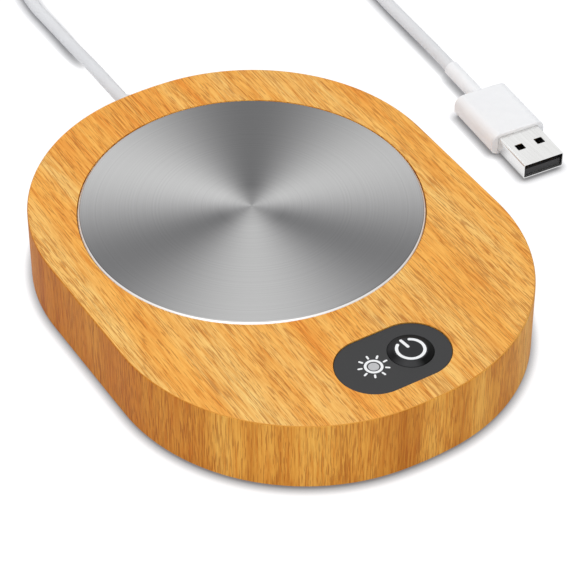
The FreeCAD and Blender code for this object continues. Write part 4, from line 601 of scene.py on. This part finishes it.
# Round the flank, light and shade are painted by angle: painted shade on three sides and painted highlights
# between.
tone = add_node(tree, "ShaderNodeValToRGB", (), {"Fac": share.outputs[0]})
tone.color_ramp.elements[0].color = linear("#101011")
tone.color_ramp.elements[1].color = linear("#101011")
for position, code in ((0.12, "#3c3c3d"), (0.2, "#3a3a3b"), (0.27, "#030303"), (0.52, "#040404"),
                       (0.7, "#040404"), (0.79, "#1c1c1d"), (0.9, "#2b2b2c"), (0.96, "#171718")):
    tone.color_ramp.elements.new(position).color = linear(code)
# The painted flank shading starts at the edge of the flat top, 3.8 to 4.15 mm out.
outward = add_node(tree, "ShaderNodeCombineXYZ", (), {"X": apart.outputs["X"], "Y": apart.outputs["Y"]})
distance = add_node(tree, "ShaderNodeVectorMath", {"operation": "LENGTH"}, {0: outward.outputs[0]})
flank_shade_mask = add_node(tree, "ShaderNodeMapRange", {"From Min": 3.8, "From Max": 4.15},
                 {"Value": distance.outputs["Value"]})
tone = add_node(tree, "ShaderNodeMix", {"data_type": "RGBA", 6: linear("#323233")},
                {0: flank_shade_mask.outputs[0], 7: tone.outputs["Color"]})
tree.links.new(tone.outputs[2], shader.inputs["Base Color"])
fine = add_node(tree, "ShaderNodeTexNoise", {"Scale": 6.0, "Detail": 2.0}, {"Vector": mm})
skin = add_node(tree, "ShaderNodeBump", {"Strength": 0.1, "Distance": 0.00008}, {"Height": fine.outputs[0]})
tree.links.new(skin.outputs["Normal"], shader.inputs["Normal"])
finish_node("power_button", polished_grey_with_painted_flank)
# The ring leaves a gap of 28 and 34 degrees on either side of the bar.
POWER_TURN, POWER_RADIUS, POWER_WIDTH = math.radians(97), 0.00326, 0.00076
GAP_BEFORE, GAP_AFTER = 28, 34
sweep = [POWER_TURN + math.radians(GAP_BEFORE + (360 - GAP_BEFORE - GAP_AFTER) * step / 44)
         for step in range(45)]
power_ring = printed_stroke(
    "power_ring_print",
    [(button_x + POWER_RADIUS * math.cos(a), button_y + POWER_RADIUS * math.sin(a)) for a in sweep],
    POWER_WIDTH, False, button_high[2], "button")
bar_way = (math.cos(POWER_TURN), math.sin(POWER_TURN))
power_bar = printed_stroke(
    "power_bar_print", [(button_x + bar_way[0] * r, button_y + bar_way[1] * r) for r in (0.001, 0.0035)],
    POWER_WIDTH, False, button_high[2], "button")

# Circuit board: green solder mask over glass fibre laminate, with the faint weave of the cloth beneath, of
# just under a millimetre. Two screws hold it on its spacers.
laminate, tree, shader, mm = start_finish("green_solder_mask", {"Roughness": 0.3, "IOR": 1.55})
weave = add_node(tree, "ShaderNodeTexBrick", {"Scale": 1.2, "Color1": linear("#14603a"),
                                              "Color2": linear("#176b41"), "Mortar": linear("#0f5030")},
                 {"Vector": mm})
tree.links.new(weave.outputs["Color"], shader.inputs["Base Color"])
finish_node("circuit_board", laminate)

# Spacers and wire connector: natural white nylon, moulded, with cloudy flow marks of 1 to 2 mm.
nylon, tree, shader, mm = start_finish("natural_nylon", {"Roughness": 0.45, "Subsurface Weight": 0.1,
                                                        "Subsurface Radius": (0.001, 0.001, 0.001)})
flow = add_node(tree, "ShaderNodeTexNoise", {"Scale": 0.7, "Detail": 2.0}, {"Vector": mm})
tone = add_node(tree, "ShaderNodeValToRGB", (), {"Fac": flow.outputs[0]})
tone.color_ramp.elements[0].color = linear("#e4e0d3")
tone.color_ramp.elements[1].color = linear("#f0ede3")
tree.links.new(tone.outputs["Color"], shader.inputs["Base Color"])
for name in ("board_spacers", "wire_connector"):
    finish_node(name, nylon)

# Inner wires: thin extruded PVC insulation with a soft shine, red and black by turns across the case.
insulation, tree, shader, mm = start_finish("red_and_black_pvc", {"Roughness": 0.4})
across = add_node(tree, "ShaderNodeSeparateXYZ", (), {0: mm})
side = add_node(tree, "ShaderNodeMath", {"operation": "SINE"}, {0: across.outputs["X"]})
tone = add_node(tree, "ShaderNodeValToRGB", (), {"Fac": side.outputs[0]})
tone.color_ramp.interpolation = "CONSTANT"
tone.color_ramp.elements[0].color = linear("#202022")
tone.color_ramp.elements[1].color = linear("#a02020")
tone.color_ramp.elements[1].position = 0.5
tree.links.new(tone.outputs["Color"], shader.inputs["Base Color"])
for name in ("supply_leads", "heater_leads", "sensor_leads"):
    finish_node(name, insulation)

# Plug: grip and boot of satin white ABS and PVC, moulded over a bent shell of bright nickel-plated steel. A
# black tongue inside carries four gold-plated contacts. The white wanders over 2 to 3 mm.
satin_white, tree, shader, mm = start_finish("satin_white_abs", {
    "Roughness": 0.35, "IOR": 1.5, "Subsurface Weight": 0.1, "Subsurface Radius": (0.002, 0.002, 0.002)})
soft = add_node(tree, "ShaderNodeTexNoise", {"Scale": 0.4, "Detail": 2.0}, {"Vector": mm})
tone = add_node(tree, "ShaderNodeValToRGB", (), {"Fac": soft.outputs[0]})
tone.color_ramp.elements[0].color = linear("#f4f4f5")
tone.color_ramp.elements[1].color = linear("#fbfbfb")
tree.links.new(tone.outputs["Color"], shader.inputs["Base Color"])
for name in ("plug_grip", "plug_boot"):
    finish_node(name, satin_white)

# The shell's sheet is drawn, which leaves lines 0.6 mm apart along it.
nickel, tree, shader, mm = start_finish("bright_nickel_plate", {"Metallic": 1.0, "Roughness": 0.22})
drawing = add_node(tree, "ShaderNodeMapping", {"Scale": (1, 0.05, 1)}, {"Vector": mm})
lines = add_node(tree, "ShaderNodeTexNoise", {"Scale": 1.6, "Detail": 3.0}, {"Vector": drawing.outputs[0]})
tone = add_node(tree, "ShaderNodeValToRGB", (), {"Fac": lines.outputs[0]})
tone.color_ramp.elements[0].color = linear("#dadad9")
tone.color_ramp.elements[1].color = linear("#f0f0ef")
tree.links.new(tone.outputs["Color"], shader.inputs["Base Color"])
finish_node("plug_shell", nickel)

# Gold plating, a little worn in spots of a millimetre.
gold, tree, shader, mm = start_finish("gold_plate", {"Metallic": 1.0, "Roughness": 0.25})
wear = add_node(tree, "ShaderNodeTexNoise", {"Scale": 1.2, "Detail": 3.0}, {"Vector": mm})
tone = add_node(tree, "ShaderNodeValToRGB", (), {"Fac": wear.outputs[0]})
tone.color_ramp.elements[0].color = linear("#b98838")
tone.color_ramp.elements[1].color = linear("#e2b968")
tree.links.new(tone.outputs["Color"], shader.inputs["Base Color"])
finish_node("plug_contacts", gold)
